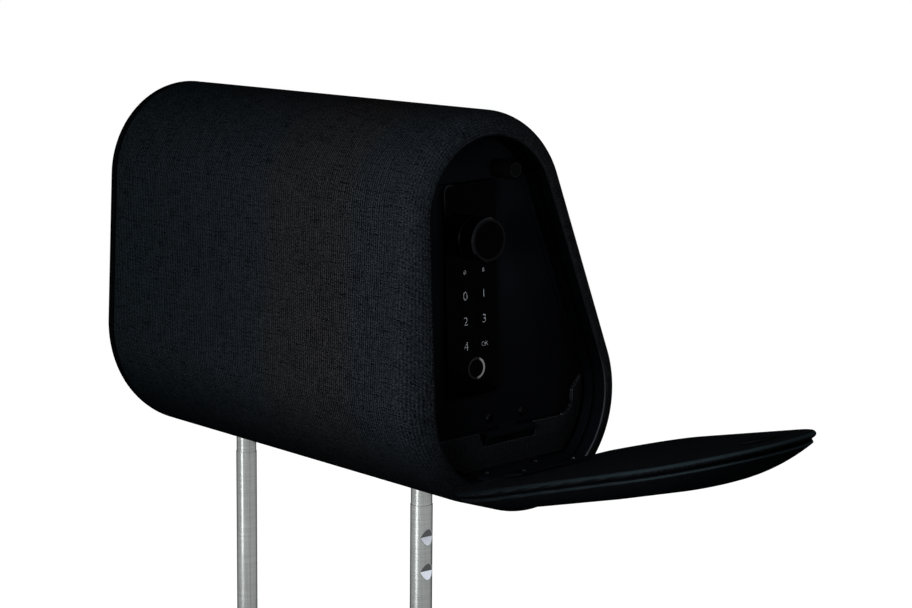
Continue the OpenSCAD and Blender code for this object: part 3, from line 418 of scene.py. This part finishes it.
def powderCoat(name, colour, grain=900, depth=0.00006, rough=0.5, level=0.008, fade=0.0):
    # the last argument is how much painted shade darkens the coat toward the foot
    f = Finish(name, **{"Specular IOR Level": level})
    where = f.place()
    grains = f.cloud(where, grain, 2)
    tint = f.mottled(f.cloud(where, coating["patches"], 3), colour, coating["dim"], coating["pale"])
    if fade:
        low = f.axes(where)[2].fall(paintedFootShading["below"], paintedFootShading["slope"], fade)
        tint = f.blend(low, tint, paintedFootShading["dark"])
    return f.give({
        "Base Color": tint,
        "Roughness": grains * coating["grainRough"] + rough,
        "Normal": f.bump(grains, depth, coating["strength"]),
    })


def plainPlastic(name, colour, rough, level, grain=600, depth=0.00002):
    f = Finish(name, **{"Specular IOR Level": level})
    where = f.place()
    smear = f.cloud(where, *moulding["smear"])
    return f.give({
        "Base Color": f.mottled(smear, colour, moulding["dim"], moulding["pale"]),
        "Roughness": smear * rough * moulding["smearRough"] + rough * moulding["leastRough"],
        "Normal": f.bump(f.cloud(where, grain, 1), depth, moulding["strength"]),
    })


def drawnMetal(name, colour, streak, rough):
    f = Finish(name, Metallic=1.0)
    streaks = f.cloud(f.place(scale=streak), drawing["streaks"], 3, 0.7)
    rings = f.cloud(f.place(scale=drawing["rings"]), 1, 2)
    patches = f.cloud(f.place(), drawing["patches"], 3)
    mark = streaks * drawing["streakTone"] + rings * drawing["ringTone"]
    tone = mark * drawing["markTone"] + patches * drawing["patchTone"]
    return f.give({
        "Base Color": f.mottled(tone, colour, drawing["dim"], drawing["pale"]),
        "Roughness": mark * drawing["markRough"] + rough,
        "Normal": f.bump(mark, drawing["depth"], drawing["strength"]),
    })


post = {
    "radius": 0.00635, "pitch": 0.17, "lean": 2.335,  # metres and degrees
    "skin": 0.0003,  # what lies deeper than this is a milled face of a notch
    "tint": (0.05, 0.055, 0.055),
    "dull": (0.15, 0.16, 0.157), "bright": (0.36, 0.375, 0.37),
    # milled notch faces, paler where they face up as painted light and dark where they face down as painted shade
    "shadedFace": (0.085, 0.09, 0.09), "litFace": (0.62, 0.66, 0.74),
    # clouds as (scale, detail, rough) and their shares
    "streaks": ((1500, 1500, 9), 3, 0.7), "rings": ((30, 30, 2600), 2, 0.6), "lighter": ((40, 40, 12), 2, 0.5),
    "streakTone": 0.4, "ringTone": 0.35, "wornTone": 0.25, "contrast": 2.0,
    "rough": 0.2, "markRough": 0.12, "depth": 0.00001, "strength": 0.5,
}


def brushedPost():
    # fine streaks run down the tube, rings of polish go round it, and the notches keep their milled faces, painted
    # light where they face up and painted shade where they face down
    f = Finish("postSteel", Metallic=1.0, **{"Specular Tint": post["tint"]})
    x, y, z = f.axes(f.place())
    off = x.size() - post["pitch"] / 2
    bow = y - z * math.tan(math.radians(post["lean"]))
    milled = (post["radius"] - post["skin"] - (off * off + bow * bow).root()).above(0)
    facing = f.axes(f.place("Normal"))[2]
    clouds = (post["streaks"], post["rings"], post["lighter"])
    streaks, rings, lighter = (f.cloud(f.place(scale=scale), 1, detail, rough) for scale, detail, rough in clouds)
    mark = streaks * post["streakTone"] + rings * post["ringTone"] + lighter * post["wornTone"]
    tone = ((mark - 0.5) * post["contrast"] + 0.5).within(0, 1)
    tube = f.blend(tone, post["dull"], post["bright"])
    notch = f.blend(facing.above(0), post["shadedFace"], post["litFace"])
    return f.give({
        "Base Color": f.blend(milled, tube, notch),
        "Roughness": mark * post["markRough"] + post["rough"],
        "Normal": f.bump(mark, post["depth"], post["strength"]),
    })


ring = {
    "dark": (0.004, 0.004, 0.0046), "light": (0.013, 0.013, 0.0142), "bright": (0.16, 0.16, 0.165),
    "off": 0.001, "slopeAcross": 600, "slopeUp": 100, "spin": (1400, 60, 60), "rough": 0.16, "spinRough": 0.12,
}
knob = {
    # edge is a painted highlight on the front bevel
    "dark": (0.0006, 0.0006, 0.0008), "light": (0.0020, 0.0021, 0.0024), "edge": (0.0055, 0.0062, 0.0074),
    "edgeWidth": 0.00065, "edgeDepth": 0.0008, "lathe": (2600, 40, 40),
    "rough": 0.34, "edgeRough": 0.16, "latheRough": 0.06, "depth": 0.00002, "strength": 0.5,
}
magnet = {
    "face": (0.0007, 0.0008, 0.0010), "rim": (0.009, 0.010, 0.013), "width": 0.00035,
    "smear": 300, "rough": 0.3, "smearRough": 0.15, "level": 0.01,
}
housing = {
    "face": (0.0002, 0.0002, 0.00024), "edge": (0.03, 0.034, 0.036), "corner": 0.004, "width": 0.0005,
    "across": 0.007, "acrossSlope": 300, "down": 0.016, "downSlope": 120,  # how far the pale edge runs
    "rough": 0.1, "smearRough": 0.05, "level": 0.006,
}


def spunRing():
    # turned metal, one side of which catches the light
    f = Finish("spunRing", Metallic=1.0)
    face = faceOf(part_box("fingerprint_ring"))
    x, y, z = f.axes(f.place())
    spun = f.cloud(f.place(scale=ring["spin"]), 1, 2)
    lit = (y - face["y"] - ring["off"]) * ring["slopeAcross"] - (z - face["z"]) * ring["slopeUp"]
    plain = f.blend(spun, ring["dark"], ring["light"])
    return f.give({
        "Base Color": f.blend(lit.within(0, 1), plain, ring["bright"]),
        "Roughness": spun * ring["spinRough"] + ring["rough"],
    })


def fromCentre(y, z, face):
    off, up = y - face["y"], z - face["z"]
    return (off * off + up * up).root()


def knobFinish():
    # the paler ring on the front bevel is a painted highlight
    f = Finish("knobBlack", Metallic=1.0)
    face = faceOf(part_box("knob"))
    x, y, z = f.axes(f.place())
    outside = fromCentre(y, z, face).above(face["half"] - knob["edgeWidth"])
    bevel = outside * x.above(face["x"] - knob["edgeDepth"])
    lathe = f.cloud(f.place(scale=knob["lathe"]), 1, 2)
    return f.give({
        "Base Color": f.blend(bevel, f.blend(lathe, knob["dark"], knob["light"]), knob["edge"]),
        "Roughness": knob["rough"] - bevel * knob["edgeRough"] + lathe * knob["latheRough"],
        "Normal": f.bump(lathe, knob["depth"], knob["strength"]),
    })


def magnetFinish(piece):
    # a dark round face whose rim is a little brighter, as a painted highlight
    f = Finish("magnetFace", **{"Specular IOR Level": magnet["level"]})
    face = faceOf(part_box(piece))
    x, y, z = f.axes(f.place())
    lighter = fromCentre(y, z, face).above(face["half"] - magnet["width"])
    return f.give({
        "Base Color": f.blend(lighter, magnet["face"], magnet["rim"]),
        "Roughness": f.cloud(f.place(), magnet["smear"], 2) * magnet["smearRough"] + magnet["rough"],
    })


def housingFinish():
    # gloss black, with the moulded edge of its upper corner catching the light
    f = Finish("keypadGloss", **{"Specular IOR Level": housing["level"]})
    face = faceOf(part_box("keypad_housing"))
    x, y, z = f.axes(f.place())
    pastY = ((y - face["y"]).size() - (face["half"] - housing["corner"])).most(0)
    pastZ = ((z - face["z"]).size() - (face["tall"] - housing["corner"])).most(0)
    edge = (pastY * pastY + pastZ * pastZ).root().above(housing["corner"] - housing["width"])
    near = y.fall(face["y"] - face["half"] + housing["across"], housing["acrossSlope"])
    near = near * z.rise(face["z"] + face["tall"] - housing["down"], housing["downSlope"])
    smear = f.cloud(f.place(), *moulding["smear"])
    return f.give({
        "Base Color": f.blend(edge * near, housing["face"], housing["edge"]),
        "Roughness": smear * housing["smearRough"] + housing["rough"],
    })


looks = {
    "postSteel": brushedPost(),
    "spunRing": spunRing(),
    "knobBlack": knobFinish(),
    "magnetFace": magnetFinish("catch_magnet"),
    "keypadGloss": housingFinish(),
}
for table, make in ((coats, powderCoat), (plastics, plainPlastic), (metals, drawnMetal)):
    for name, settings in table.items():
        looks[name] = make(name, **settings)

keys = {"key_0": "0", "key_1": "1", "key_2": "2", "key_3": "3", "key_4": "4", "key_ok": "OK"}
dressed = {
    "openFoam": ["foam_core"],
    "feltMat": ["floor_mat"],
    "safeInnerCoat": ["safe_body", "back_plate"],
    "safeCoat": ["door_frame", "door_plate"],
    "hingeCoat": [
        "hinge_block", "door_hinge_frame_leaf", "door_hinge_leaf", "flap_hinge_fixed_leaf", "flap_hinge_leaf",
    ],
    "pinSteel": ["door_hinge_pin", "flap_hinge_pin"],
    "blackScrew": ["frame_leaf_screws", "door_leaf_screws", "fixed_leaf_screws", "flap_leaf_screws"],
    "postSteel": ["post_left", "post_right"],
    "bareSteel": [
        "post_blocks", "post_screws", "case_screws", "bolt_guides", "spindle", "lock_cam", "bolt_plate", "plunger",
    ],
    "mattPlastic": ["catch_post", "lock_case", "solenoid", "battery_tray", "battery_cover", "flap_board"],
    "magnetFace": ["catch_magnet"],
    "coatedKeeper": ["keeper_plate"],
    "keypadGloss": ["keypad_housing"],
    "keyPlastic": list(keys),
    "solderMask": ["keypad_board"],
    "indicatorWindow": ["led_windows"],
    "spunRing": ["fingerprint_ring"],
    "sensorGlass": ["fingerprint_sensor"],
    "turnedBrass": ["spindle_bush"],
    "knobBlack": ["knob"],
    "knobCap": ["knob_cap"],
    "cellWrap": ["battery_cells"],
}
for look, names in dressed.items():
    for name in names:
        nodes[name].data.materials.clear()
        nodes[name].data.materials.append(looks[look])
print("hard finishes given:", sum(map(len, dressed.values())))

# circles of the outlines as (y, z, radius) in metres: sloping foot, crown, flat foot
bodyCircles = [(0.035, 0.0545, 0.063), (0.0045, 0.161, 0.0565), (0.010, 0.0705, 0.0695)]
openCircles = [(0.035, 0.0545, 0.0505), (0.0045, 0.161, 0.043), (0.0125, 0.060, 0.050)]
arcSteps = (52, 72, 44)  # round each circle
sideSteps = (36, 34, 12)  # along the sloping side, the flat side and the underside


def lerp(a, b, t):
    return a + (b - a) * t


def tangents(circles):
    turns = []
    for i, a in enumerate(circles):
        b = circles[(i + 1) % 3]
        reach = Vector((b[0] - a[0], b[1] - a[1]))
        turns.append(math.atan2(reach.y, reach.x) - math.acos((a[2] - b[2]) / reach.length))
    return turns


def outline(circles, inset=0.0):
    turns = tangents(circles)
    arcs = []
    for i, (y, z, r) in enumerate(circles):
        start = turns[i - 1]
        sweep = (turns[i] - start) % (2 * math.pi)
        angles = [start + sweep * s / arcSteps[i] for s in range(arcSteps[i] + 1)]
        arcs.append([Vector((y + (r - inset) * math.cos(t), z + (r - inset) * math.sin(t))) for t in angles])
    spots = []
    for i, arc in enumerate(arcs):
        after = arcs[(i + 1) % 3][0]
        spots += arc + [arc[-1].lerp(after, s / sideSteps[i]) for s in range(1, sideSteps[i])]
    return spots


def station(x, inset, t=0.0, inner=0.0):
    # the section at x, a share t of the way from the body's outline to the opening's
    outer, hole = outline(bodyCircles, inset), outline(openCircles, inner)
    return [Vector((x, a.x + (b.x - a.x) * t, a.y + (b.y - a.y) * t)) for a, b in zip(outer, hole)]


def shrinkTo(section, share, x):
    middle = sum(section, Vector()) / len(section)
    return [Vector((x, lerp(middle.y, p.y, share), lerp(middle.z, p.z, share))) for p in section]


def nextLayer(bm, last):
    # draws the loop of vertices out by one step and gives the new loop in the same order
    count = len(last)
    edges = [bm.edges.get((last[i], last[(i + 1) % count])) for i in range(count)]
    out = bmesh.ops.extrude_edge_only(bm, edges=edges)
    fresh = {g for g in out["geom"] if isinstance(g, bmesh.types.BMVert)}
    return [next(e.other_vert(v) for e in v.link_edges if e.other_vert(v) in fresh) for v in last]


def meshFrom(name, bm):
    mesh = bpy.data.meshes.new(name)
    bm.to_mesh(mesh)
    bm.free()
    return mesh


def linked(name, data):
    made = bpy.data.objects.new(name, data)
    scene.collection.objects.link(made)
    return made


def evaluated(made):
    # the object's mesh with its modifiers worked in
    bpy.context.view_layer.update()
    return bpy.data.meshes.new_from_object(made.evaluated_get(bpy.context.evaluated_depsgraph_get()))


def settle(piece):
    done = evaluated(piece)
    piece.modifiers.clear()
    piece.data = done


def addPiece(name, bm, mats, body, wall=0.0, smooth=True):
    mesh = meshFrom(name, bm)
    mesh.polygons.foreach_set("use_smooth", [smooth] * len(mesh.polygons))
    for mat in mats:
        mesh.materials.append(mat)
    piece = linked(name, mesh)
    if wall:
        thick = piece.modifiers.new("wall", "SOLIDIFY")
        thick.thickness = wall
        thick.offset = -1
        settle(piece)
    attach(piece, body)
    return piece


clothMap = {"step": 7, "drift": 0.2}  # points between measured ones, and how far a flat cloth shifts with depth


def mapCloth(bm, rings, spot, flatMap):
    # lays the cloth flat over an end, or rolls it round with u along the length
    count = len(rings[0])
    sampled = range(0, count, clothMap["step"])
    along, around = [0.0], [0.0]
    for before, after in zip(rings, rings[1:]):
        along.append(along[-1] + sum((after[i] - before[i]).length for i in sampled) / len(sampled))
    widest = max(rings, key=lambda r: sum((r[i] - r[i - 1]).length for i in range(count)))
    for i in range(1, count + 1):
        around.append(around[-1] + (widest[i % count] - widest[i - 1]).length)
    uv = bm.loops.layers.uv.new("cloth")
    for face in bm.faces:
        overSeam = {0, count - 1} <= {spot[v][1] for v in face.verts}
        for loop in face.loops:
            j, i = spot[loop.vert]
            if flatMap:
                loop[uv].uv = (loop.vert.co.y, loop.vert.co.z + along[j] * clothMap["drift"])
            else:
                loop[uv].uv = (along[j], around[count if overSeam and i == 0 else i])


def skinOver(
    name, rings, mat, body, flatMap=False, closed=False, fillEnd=False, carry=None, wall=0.0, trim=(),
):
    # a skin through the rings of points; trim lists other cloths with the rings that each one covers
    count = len(rings[0])
    bm = bmesh.new()
    first = bmesh.ops.create_circle(bm, segments=count, radius=1)["verts"]
    first.sort(key=lambda v: math.atan2(v.co.y, v.co.x) % (2 * math.pi))
    layers = [first]
    for _ in rings[1:]:
        layers.append(nextLayer(bm, layers[-1]))
    for layer, section in zip(layers, rings):
        for vert, place in zip(layer, section):
            vert.co = place
    if closed:
        ends = (layers[0], layers[-1])
        loops = [bm.edges.get((layer[i], layer[(i + 1) % count])) for layer in ends for i in range(count)]
        bmesh.ops.bridge_loops(bm, edges=loops)
    if fillEnd:
        bm.faces.new(layers[-1])
    spot = {v: (j, i) for j, layer in enumerate(layers) for i, v in enumerate(layer)}
    for face in bm.faces:
        touched = {spot[v][0] for v in face.verts}
        for number, (_, span) in enumerate(trim, 1):
            if touched <= set(span):
                face.material_index = number
    mapCloth(bm, rings, spot, flatMap)
    bmesh.ops.recalc_face_normals(bm, faces=bm.faces)
    if carry:
        bm.transform(carry)
    return addPiece(name, bm, [mat] + [cloth for cloth, _ in trim], body, wall)


def cordAlong(name, path, radius, body, sides=14, carry=None):
    # a round cord along a closed path
    count = len(path)
    angles = [2 * math.pi * s / sides for s in range(sides)]
    sections = []
    for i, at in enumerate(path):
        ahead = (path[(i + 1) % count] - path[i - 1]).normalized()
        out = Vector((0, ahead.z, -ahead.y)).normalized()
        side = ahead.cross(out)
        sections.append([at + radius * (math.cos(t) * out + math.sin(t) * side) for t in angles])
    return skinOver(name, sections, pipingMat, body, closed=True, carry=carry)


bodyShape = {
    "back": -0.1372, "roll": 0.1327, "rim": 0.146, "turn": 0.137, "wall": 0.0010,
    "tuck": ((-0.0034, 0.0046), (-0.0030, 0.0030), (-0.0024, 0.0019), (-0.0010, 0.0007), (0.0006, 0.0002)),
    "sideFrom": 0.0022, "sideRings": 34, "rollRings": 16, "turnRings": 8, "rollShare": 0.86, "dip": 0.002,
    "innerRings": 3, "groove": range(0, 5), "rimFold": range(58, 61), "lining": range(60, 67),
    "postHole": 0.0069, "holeDepth": 0.05, "holeSides": 48,
}
foamShape = {"inset": 0.0015, "backInset": 0.0007, "inner": -0.0018}
# the crown as how far each ring stands out and how far it lies in from the outline
endPanel = {
    "gap": 0.0003, "closing": (0.75, 0.5, 0.3, 0.15, 0.05),
    "crown": ((0, 0.005), (0.0030, 0.005), (0.0044, 0.0053), (0.0055, 0.0061), (0.0071, 0.0084), (0.0083, 0.0125),
              (0.0089, 0.016), (0.0095, 0.022), (0.0099, 0.03), (0.0101, 0.037), (0.0103, 0.044)),
}
pipingShape = {"behind": 0.0048, "inset": 0.0020, "radius": 0.002}
linerShape = {"from": 0.129, "gap": 0.0003, "wall": 0.0014, "rings": 4}


def rolledRim(inset=0.0, depth=0.0):
    reach = bodyShape["rim"] - bodyShape["roll"]
    rings = []
    for k in range(bodyShape["rollRings"] + 1):
        a = math.pi / 2 * k / bodyShape["rollRings"]
        x = bodyShape["roll"] + (reach - inset) * math.sin(a)
        rings.append(station(x, depth, bodyShape["rollShare"] * (1 - math.cos(a)), -depth))
    for k in range(1, bodyShape["turnRings"] + 1):
        a = math.pi / 2 * k / bodyShape["turnRings"]
        x = bodyShape["rim"] - inset - bodyShape["dip"] * (1 - math.cos(a))
        rings.append(station(x, depth, bodyShape["rollShare"] + (1 - bodyShape["rollShare"]) * math.sin(a), -depth))
    return rings


def drillForPosts(piece):
    bm = bmesh.new()
    radius = bodyShape["postHole"]
    for side in (-1, 1):
        made = bmesh.ops.create_cone(
            bm, cap_ends=True, segments=bodyShape["holeSides"],
            radius1=radius, radius2=radius, depth=bodyShape["holeDepth"],
        )
        lean = Matrix.Rotation(math.radians(-post["lean"]), 4, "X")
        place = Matrix.Translation((side * post["pitch"] / 2, 0, 0)) @ lean
        bmesh.ops.transform(bm, matrix=place, verts=made["verts"])
    cutter = linked("postHoles", meshFrom("postHoles", bm))
    cut = piece.modifiers.new("holes", "BOOLEAN")
    cut.object = cutter
    cut.solver = "EXACT"
    settle(piece)
    bpy.data.objects.remove(cutter)


def makeBody():
    start, rim = bodyShape["back"] + bodyShape["sideFrom"], bodyShape["rim"] - bodyShape["dip"]
    count, inner = bodyShape["sideRings"], bodyShape["innerRings"]
    rings = [station(bodyShape["back"] + out, inset) for out, inset in bodyShape["tuck"]]
    rings += [station(lerp(start, bodyShape["roll"], k / count), 0) for k in range(count)]
    rings += rolledRim()
    rings += [station(lerp(rim, bodyShape["turn"], k / inner), 0, 1) for k in range(1, inner + 1)]
    # the groove is darkened as painted shade, and the fold at the rim is paled as a painted highlight
    trim = [(grooveMat, bodyShape["groove"]), (rimFoldMat, bodyShape["rimFold"]), (linerMat, bodyShape["lining"])]
    cover = skinOver("bodyCover", rings, coverMat, "headrest", wall=bodyShape["wall"], trim=trim)
    drillForPosts(cover)
    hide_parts("fabric_cover")


def makeFoam():
    back, inset = bodyShape["back"], foamShape["inset"]
    rings = [station(back, inset + foamShape["backInset"])] + rolledRim(inset, inset)
    rings += [station(back, 0, 1, foamShape["inner"])]
    foam = skinOver("foamCore", rings, looks["openFoam"], "headrest", closed=True)
    drillForPosts(foam)
    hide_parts("foam_core")


def makeEnd():
    start = bodyShape["back"] - endPanel["gap"]
    rings = [station(start - out, inset) for out, inset in endPanel["crown"]]
    last = rings[-1]
    rings += [shrinkTo(last, share, last[0].x) for share in endPanel["closing"]]
    panel = skinOver("endPanel", rings, endMat, "headrest", flatMap=True, fillEnd=True)
    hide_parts("end_panel")
    path = station(bodyShape["back"] - pipingShape["behind"], pipingShape["inset"])
    piping = cordAlong("endPiping", path, pipingShape["radius"], "headrest")
    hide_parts("end_piping")


def makeLiner():
    last, count = bodyShape["turn"] - linerShape["gap"], linerShape["rings"]
    rings = [station(lerp(linerShape["from"], last, k / count), 0, 1) for k in range(count + 1)]
    liner = skinOver("recessLiner", rings, linerMat, "headrest", wall=linerShape["wall"])
    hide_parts("recess_liner")


softening = {"weld": 1e-6, "flat": 1, "sharp": 25}  # metres and degrees


def softCopy(node, name, mats, width, segments):
    # a soft piece cut from the solid's own shape, with its hard edges rounded in the last of its cloths
    bm = bmesh.new()
    bm.from_mesh(nodes[node].data)
    bmesh.ops.remove_doubles(bm, verts=bm.verts, dist=softening["weld"])
    bmesh.ops.dissolve_limit(bm, angle_limit=math.radians(softening["flat"]), verts=bm.verts, edges=bm.edges)
    least = math.radians(softening["sharp"])
    sharp = [e for e in bm.edges if len(e.link_faces) == 2 and e.calc_face_angle(0) > least]
    number = len(mats) - 1 or -1
    bmesh.ops.bevel(
        bm, geom=sharp, offset=width, segments=segments, profile=0.5,
        affect="EDGES", material=number, clamp_overlap=True,
    )
    piece = addPiece(name, bm, mats, "headrest")
    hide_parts(node)


makeBody()
makeFoam()
makeEnd()
makeLiner()
# the filler's rounded edges take its last cloth, a painted highlight
softCopy("bottom_filler", "fillerStrip", [fillerMat, fillerEdgeHighlightMat], 0.0009, 3)
softCopy("floor_mat", "floorFelt", [looks["feltMat"]], 0.0003, 2)
print("body made")

flap = {
    "hinge": (0.155, 0.012), "open": 74.5, "over": 0.001,
    "heelRadius": 0.0084, "heelLow": 0.0056, "heelShare": 0.3, "heelRise": 0.006,
    "heelBow": 0.0004, "heelMiddle": 0.020, "heelHalf": 0.06,
}
# rings as how far each one stands out from the first and how far it lies in from the outline
outerPad = {
    "back": 0.1509,
    "edge": ((0, 0.0044), (0.0001, 0.0037), (0.00025, 0.0032), (0.0005, 0.0029), (0.0009, 0.0027), (0.0013, 0.0027)),
    "crownFrom": 0.0016, "crown": 0.0127, "crownInset": 0.0028, "rise": 0.042,
    "crownRings": (0, 0.015, 0.03, 0.055, 0.08, 0.12, 0.16, 0.215, 0.27, 0.34, 0.42, 0.52, 0.62, 0.74, 0.85, 0.93, 1),
    "closing": (0.7, 0.4, 0.2, 0.06), "thinTo": 0.0014, "thinReach": 0.12, "thin": 0.24, "lip": range(3, 6),
}
liningShape = {
    "face": 0.1465, "closing": (0.8, 0.6, 0.4, 0.2, 0.06), "lip": range(4, 8),
    "rings": ((0.0034, 0.0028), (0.0032, 0.0018), (0.0028, 0.0010), (0.0023, 0.0006), (0.0017, 0.0005),
              (0.0011, 0.0007), (0.0006, 0.0011), (0.0003, 0.0016), (0.0001, 0.0023), (0, 0.0032), (0, 0.005),
              (0.0001, 0.0072), (0.0002, 0.0098), (0.0004, 0.014), (0.0005, 0.02), (0.0007, 0.032)),
}
weltShape = {"x": 0.1501, "inset": 0.0034, "radius": 0.0007, "sides": 10}
openFlap = (Matrix.Translation((flap["hinge"][0], 0, flap["hinge"][1]))
            @ Matrix.Rotation(math.radians(flap["open"]), 4, "Y")
            @ Matrix.Translation((-flap["hinge"][0], 0, -flap["hinge"][1])))


def flapRing(x, inset):
    # the shut flap's outline at x, cut off at its heel by the hinge's swing
    behind = x - flap["hinge"][0]
    arc = flap["hinge"][1] - math.sqrt(max(0.0, flap["heelRadius"] ** 2 - behind ** 2)) + inset / 2
    low = flap["heelLow"] + min(inset * flap["heelShare"], flap["heelRise"])
    if behind < 0:
        low = max(low, arc)
    section = []
    for p in outline(bodyCircles, inset - flap["over"]):
        bow = flap["heelBow"] * (1 - ((p.x - flap["heelMiddle"]) / flap["heelHalf"]) ** 2)
        section.append(Vector((x, p.x, max(p.y, low - bow))))
    return section


def thinHeel(rings):
    for spot in [p for section in rings for p in section]:
        near = max(0.0, 1 - (spot.z - flap["heelLow"]) / outerPad["thinReach"])
        spot.x = lerp(spot.x, outerPad["back"] + outerPad["thinTo"], outerPad["thin"] * near)


def makeOuterPad():
    x, edge = outerPad["back"], outerPad["edge"]
    rings = [flapRing(x + out, inset) for out, inset in edge]
    for t in outerPad["crownRings"]:
        out = outerPad["crownFrom"] + (outerPad["crown"] - outerPad["crownFrom"]) * (1 - (1 - t) ** 2)
        rings.append(flapRing(x + out, outerPad["crownInset"] + t * outerPad["rise"]))
    last = rings[-1]
    rings += [shrinkTo(last, share, last[0].x) for share in outerPad["closing"]]
    thinHeel(rings[len(edge):])
    # the lip's rings carry the painted highlight
    trim = [(lipMat, outerPad["lip"])]
    outer = skinOver(
        "flapOuterPad", rings, flapOuterMat, "flap", flatMap=True, fillEnd=True, carry=openFlap, trim=trim,
    )
    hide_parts("flap_outer_pad")


def makeLining():
    rings = [flapRing(liningShape["face"] + out, inset) for out, inset in liningShape["rings"]]
    last = rings[-1]
    rings += [shrinkTo(last, share, last[0].x) for share in liningShape["closing"]]
    # the lip's rings carry the painted highlight
    trim = [(lipMat, liningShape["lip"])]
    lining = skinOver(
        "flapLining", rings, liningMat, "flap", flatMap=True, fillEnd=True, carry=openFlap, trim=trim,
    )
    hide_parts("flap_lining")


def makeWelt():
    path = flapRing(weltShape["x"], weltShape["inset"])
    welt = cordAlong("flapWelt", path, weltShape["radius"], "flap", weltShape["sides"], openFlap)
    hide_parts("flap_welt")


makeOuterPad()
makeLining()
makeWelt()
print("flap made")

keyPrint = {"size": 0.0068, "wordSize": 0.0035, "lift": 0.00004, "depth": 0.00003, "thin": 0.012, "weld": 1e-7}
# bars as (across, up, width, height) in millimetres
signs = {
    "margin": 0.0016,
    "lock": ((0, -0.45, 1.9, 1.3), (-0.6, 0.55, 0.35, 0.9), (0.6, 0.55, 0.35, 0.9), (0, 1.0, 0.9, 0.3)),
    "cell": ((0, -0.2, 1.3, 2.0), (0, 1.0, 0.6, 0.4)),
}


def facing(place):
    # turns a flat shape to face the open end, at the place
    x, y, z = place
    return Matrix(((0, 0, 1, x), (1, 0, 0, y), (0, 1, 0, z), (0, 0, 0, 1)))


def printOn(name, words, size, place, body):
    letters = bpy.data.curves.new(name, "FONT")
    letters.body = words
    letters.size = size
    letters.align_x = "CENTER"
    letters.align_y = "CENTER"
    letters.extrude = keyPrint["depth"] / 2
    letters.offset = -size * keyPrint["thin"]
    made = linked(name, letters)
    mesh = evaluated(made)
    bpy.data.objects.remove(made)
    bm = bmesh.new()
    bm.from_mesh(mesh)
    bmesh.ops.remove_doubles(bm, verts=bm.verts, dist=keyPrint["weld"])
    bm.transform(facing(place))
    piece = addPiece(name, bm, [looks["whitePrint"]], body, smooth=False)


def signPiece(name, bars, place):
    bm = bmesh.new()
    for across, up, width, height in bars:
        size = Matrix.Diagonal((width / 1000, height / 1000, keyPrint["depth"], 1))
        bmesh.ops.create_cube(bm, size=1, matrix=Matrix.Translation((across / 1000, up / 1000, 0)) @ size)
    bm.transform(facing(place))
    piece = addPiece(name, bm, [looks["greyPrint"]], "door", smooth=False)


for key, words in keys.items():
    face = faceOf(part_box(key))
    size = keyPrint["wordSize"] if len(words) > 1 else keyPrint["size"]
    printOn("print_" + key, words, size, (face["x"] + keyPrint["lift"], face["y"], face["z"]), key)

face = faceOf(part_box("led_windows"))
offset = face["half"] - signs["margin"]
signPiece("lockSign", signs["lock"], (face["x"] + keyPrint["lift"], face["y"] - offset, face["z"]))
signPiece("cellSign", signs["cell"], (face["x"] + keyPrint["lift"], face["y"] + offset, face["z"]))
print("keys printed")

studio = {
    "floor": -0.1602, "reach": 8, "world": 0.09,
    "tone": (0.15, 0.15, 0.15), "rough": 0.9, "glow": (0.985, 0.985, 0.985),
}
lamps = {
    "keyLamp": {"place": (0.28, -0.48, 0.2), "aim": (0.12, 0, 0.11), "size": (0.26, 0.26), "power": 3.2},
    "sideLamp": {"place": (-0.6, -1.6, 0.5), "aim": (0, 0, 0.1), "size": (1.2, 0.8), "power": 0.12},
    "fillLamp": {"place": (1.7, -0.3, 0.55), "aim": (0.1, 0, 0.1), "size": (0.8, 0.8), "power": 1.4},
    "postLamp": {
        "place": (0.04, -0.5, -0.095), "aim": (0.02, 0, -0.13), "size": (0.32, 0.12), "power": 0.12, "spread": 35,
    },
    "edgeLamp": {"place": (0.9, 1.1, 0.9), "aim": (0.1, 0, 0.12), "size": (0.3, 0.8), "power": 6.5},
}


def makeFloor():
    bm = bmesh.new()
    bmesh.ops.create_grid(bm, x_segments=1, y_segments=1, size=studio["reach"])
    bm.transform(Matrix.Translation((0, 0, studio["floor"])))
    floor = linked("floor", meshFrom("floor", bm))
    f = Finish("floor", Roughness=studio["rough"], **{**dull, "Base Color": studio["tone"]})
    glow = f.node("ShaderNodeEmission", None, {"Color": studio["glow"]})
    lit = f.node("ShaderNodeAddShader", None, {0: f.look, 1: glow})
    shown = f.node("ShaderNodeMixShader", None, {0: f.seenAsBackground(), 1: f.look, 2: lit})
    f.node("ShaderNodeOutputMaterial", {"is_active_output": True}, {0: shown})
    floor.data.materials.append(f.mat)


def makeWorld():
    world = bpy.data.worlds.new("studio")
    scene.world = world
    f = Board(world)
    soft = f.node("ShaderNodeBackground", None, {"Color": (1, 1, 1), "Strength": studio["world"]})
    white = f.node("ShaderNodeBackground", None, {"Color": (1, 1, 1), "Strength": 1.0})
    shown = f.node("ShaderNodeMixShader", None, {0: f.seenAsBackground(), 1: soft, 2: white})
    f.node("ShaderNodeOutputWorld", None, {0: shown})


def addLamp(name, place, aim, size, power, spread=180):
    lamp = bpy.data.lights.new(name, "AREA")
    lamp.shape = "RECTANGLE"
    lamp.size, lamp.size_y = size
    lamp.energy = power
    lamp.spread = math.radians(spread)
    turn = (Vector(aim) - Vector(place)).to_track_quat("-Z", "Y").to_matrix().to_4x4()
    linked(name, lamp).matrix_world = Matrix.Translation(place) @ turn


makeFloor()
makeWorld()
for name, lamp in lamps.items():
    addLamp(name, **lamp)
print("studio ready")
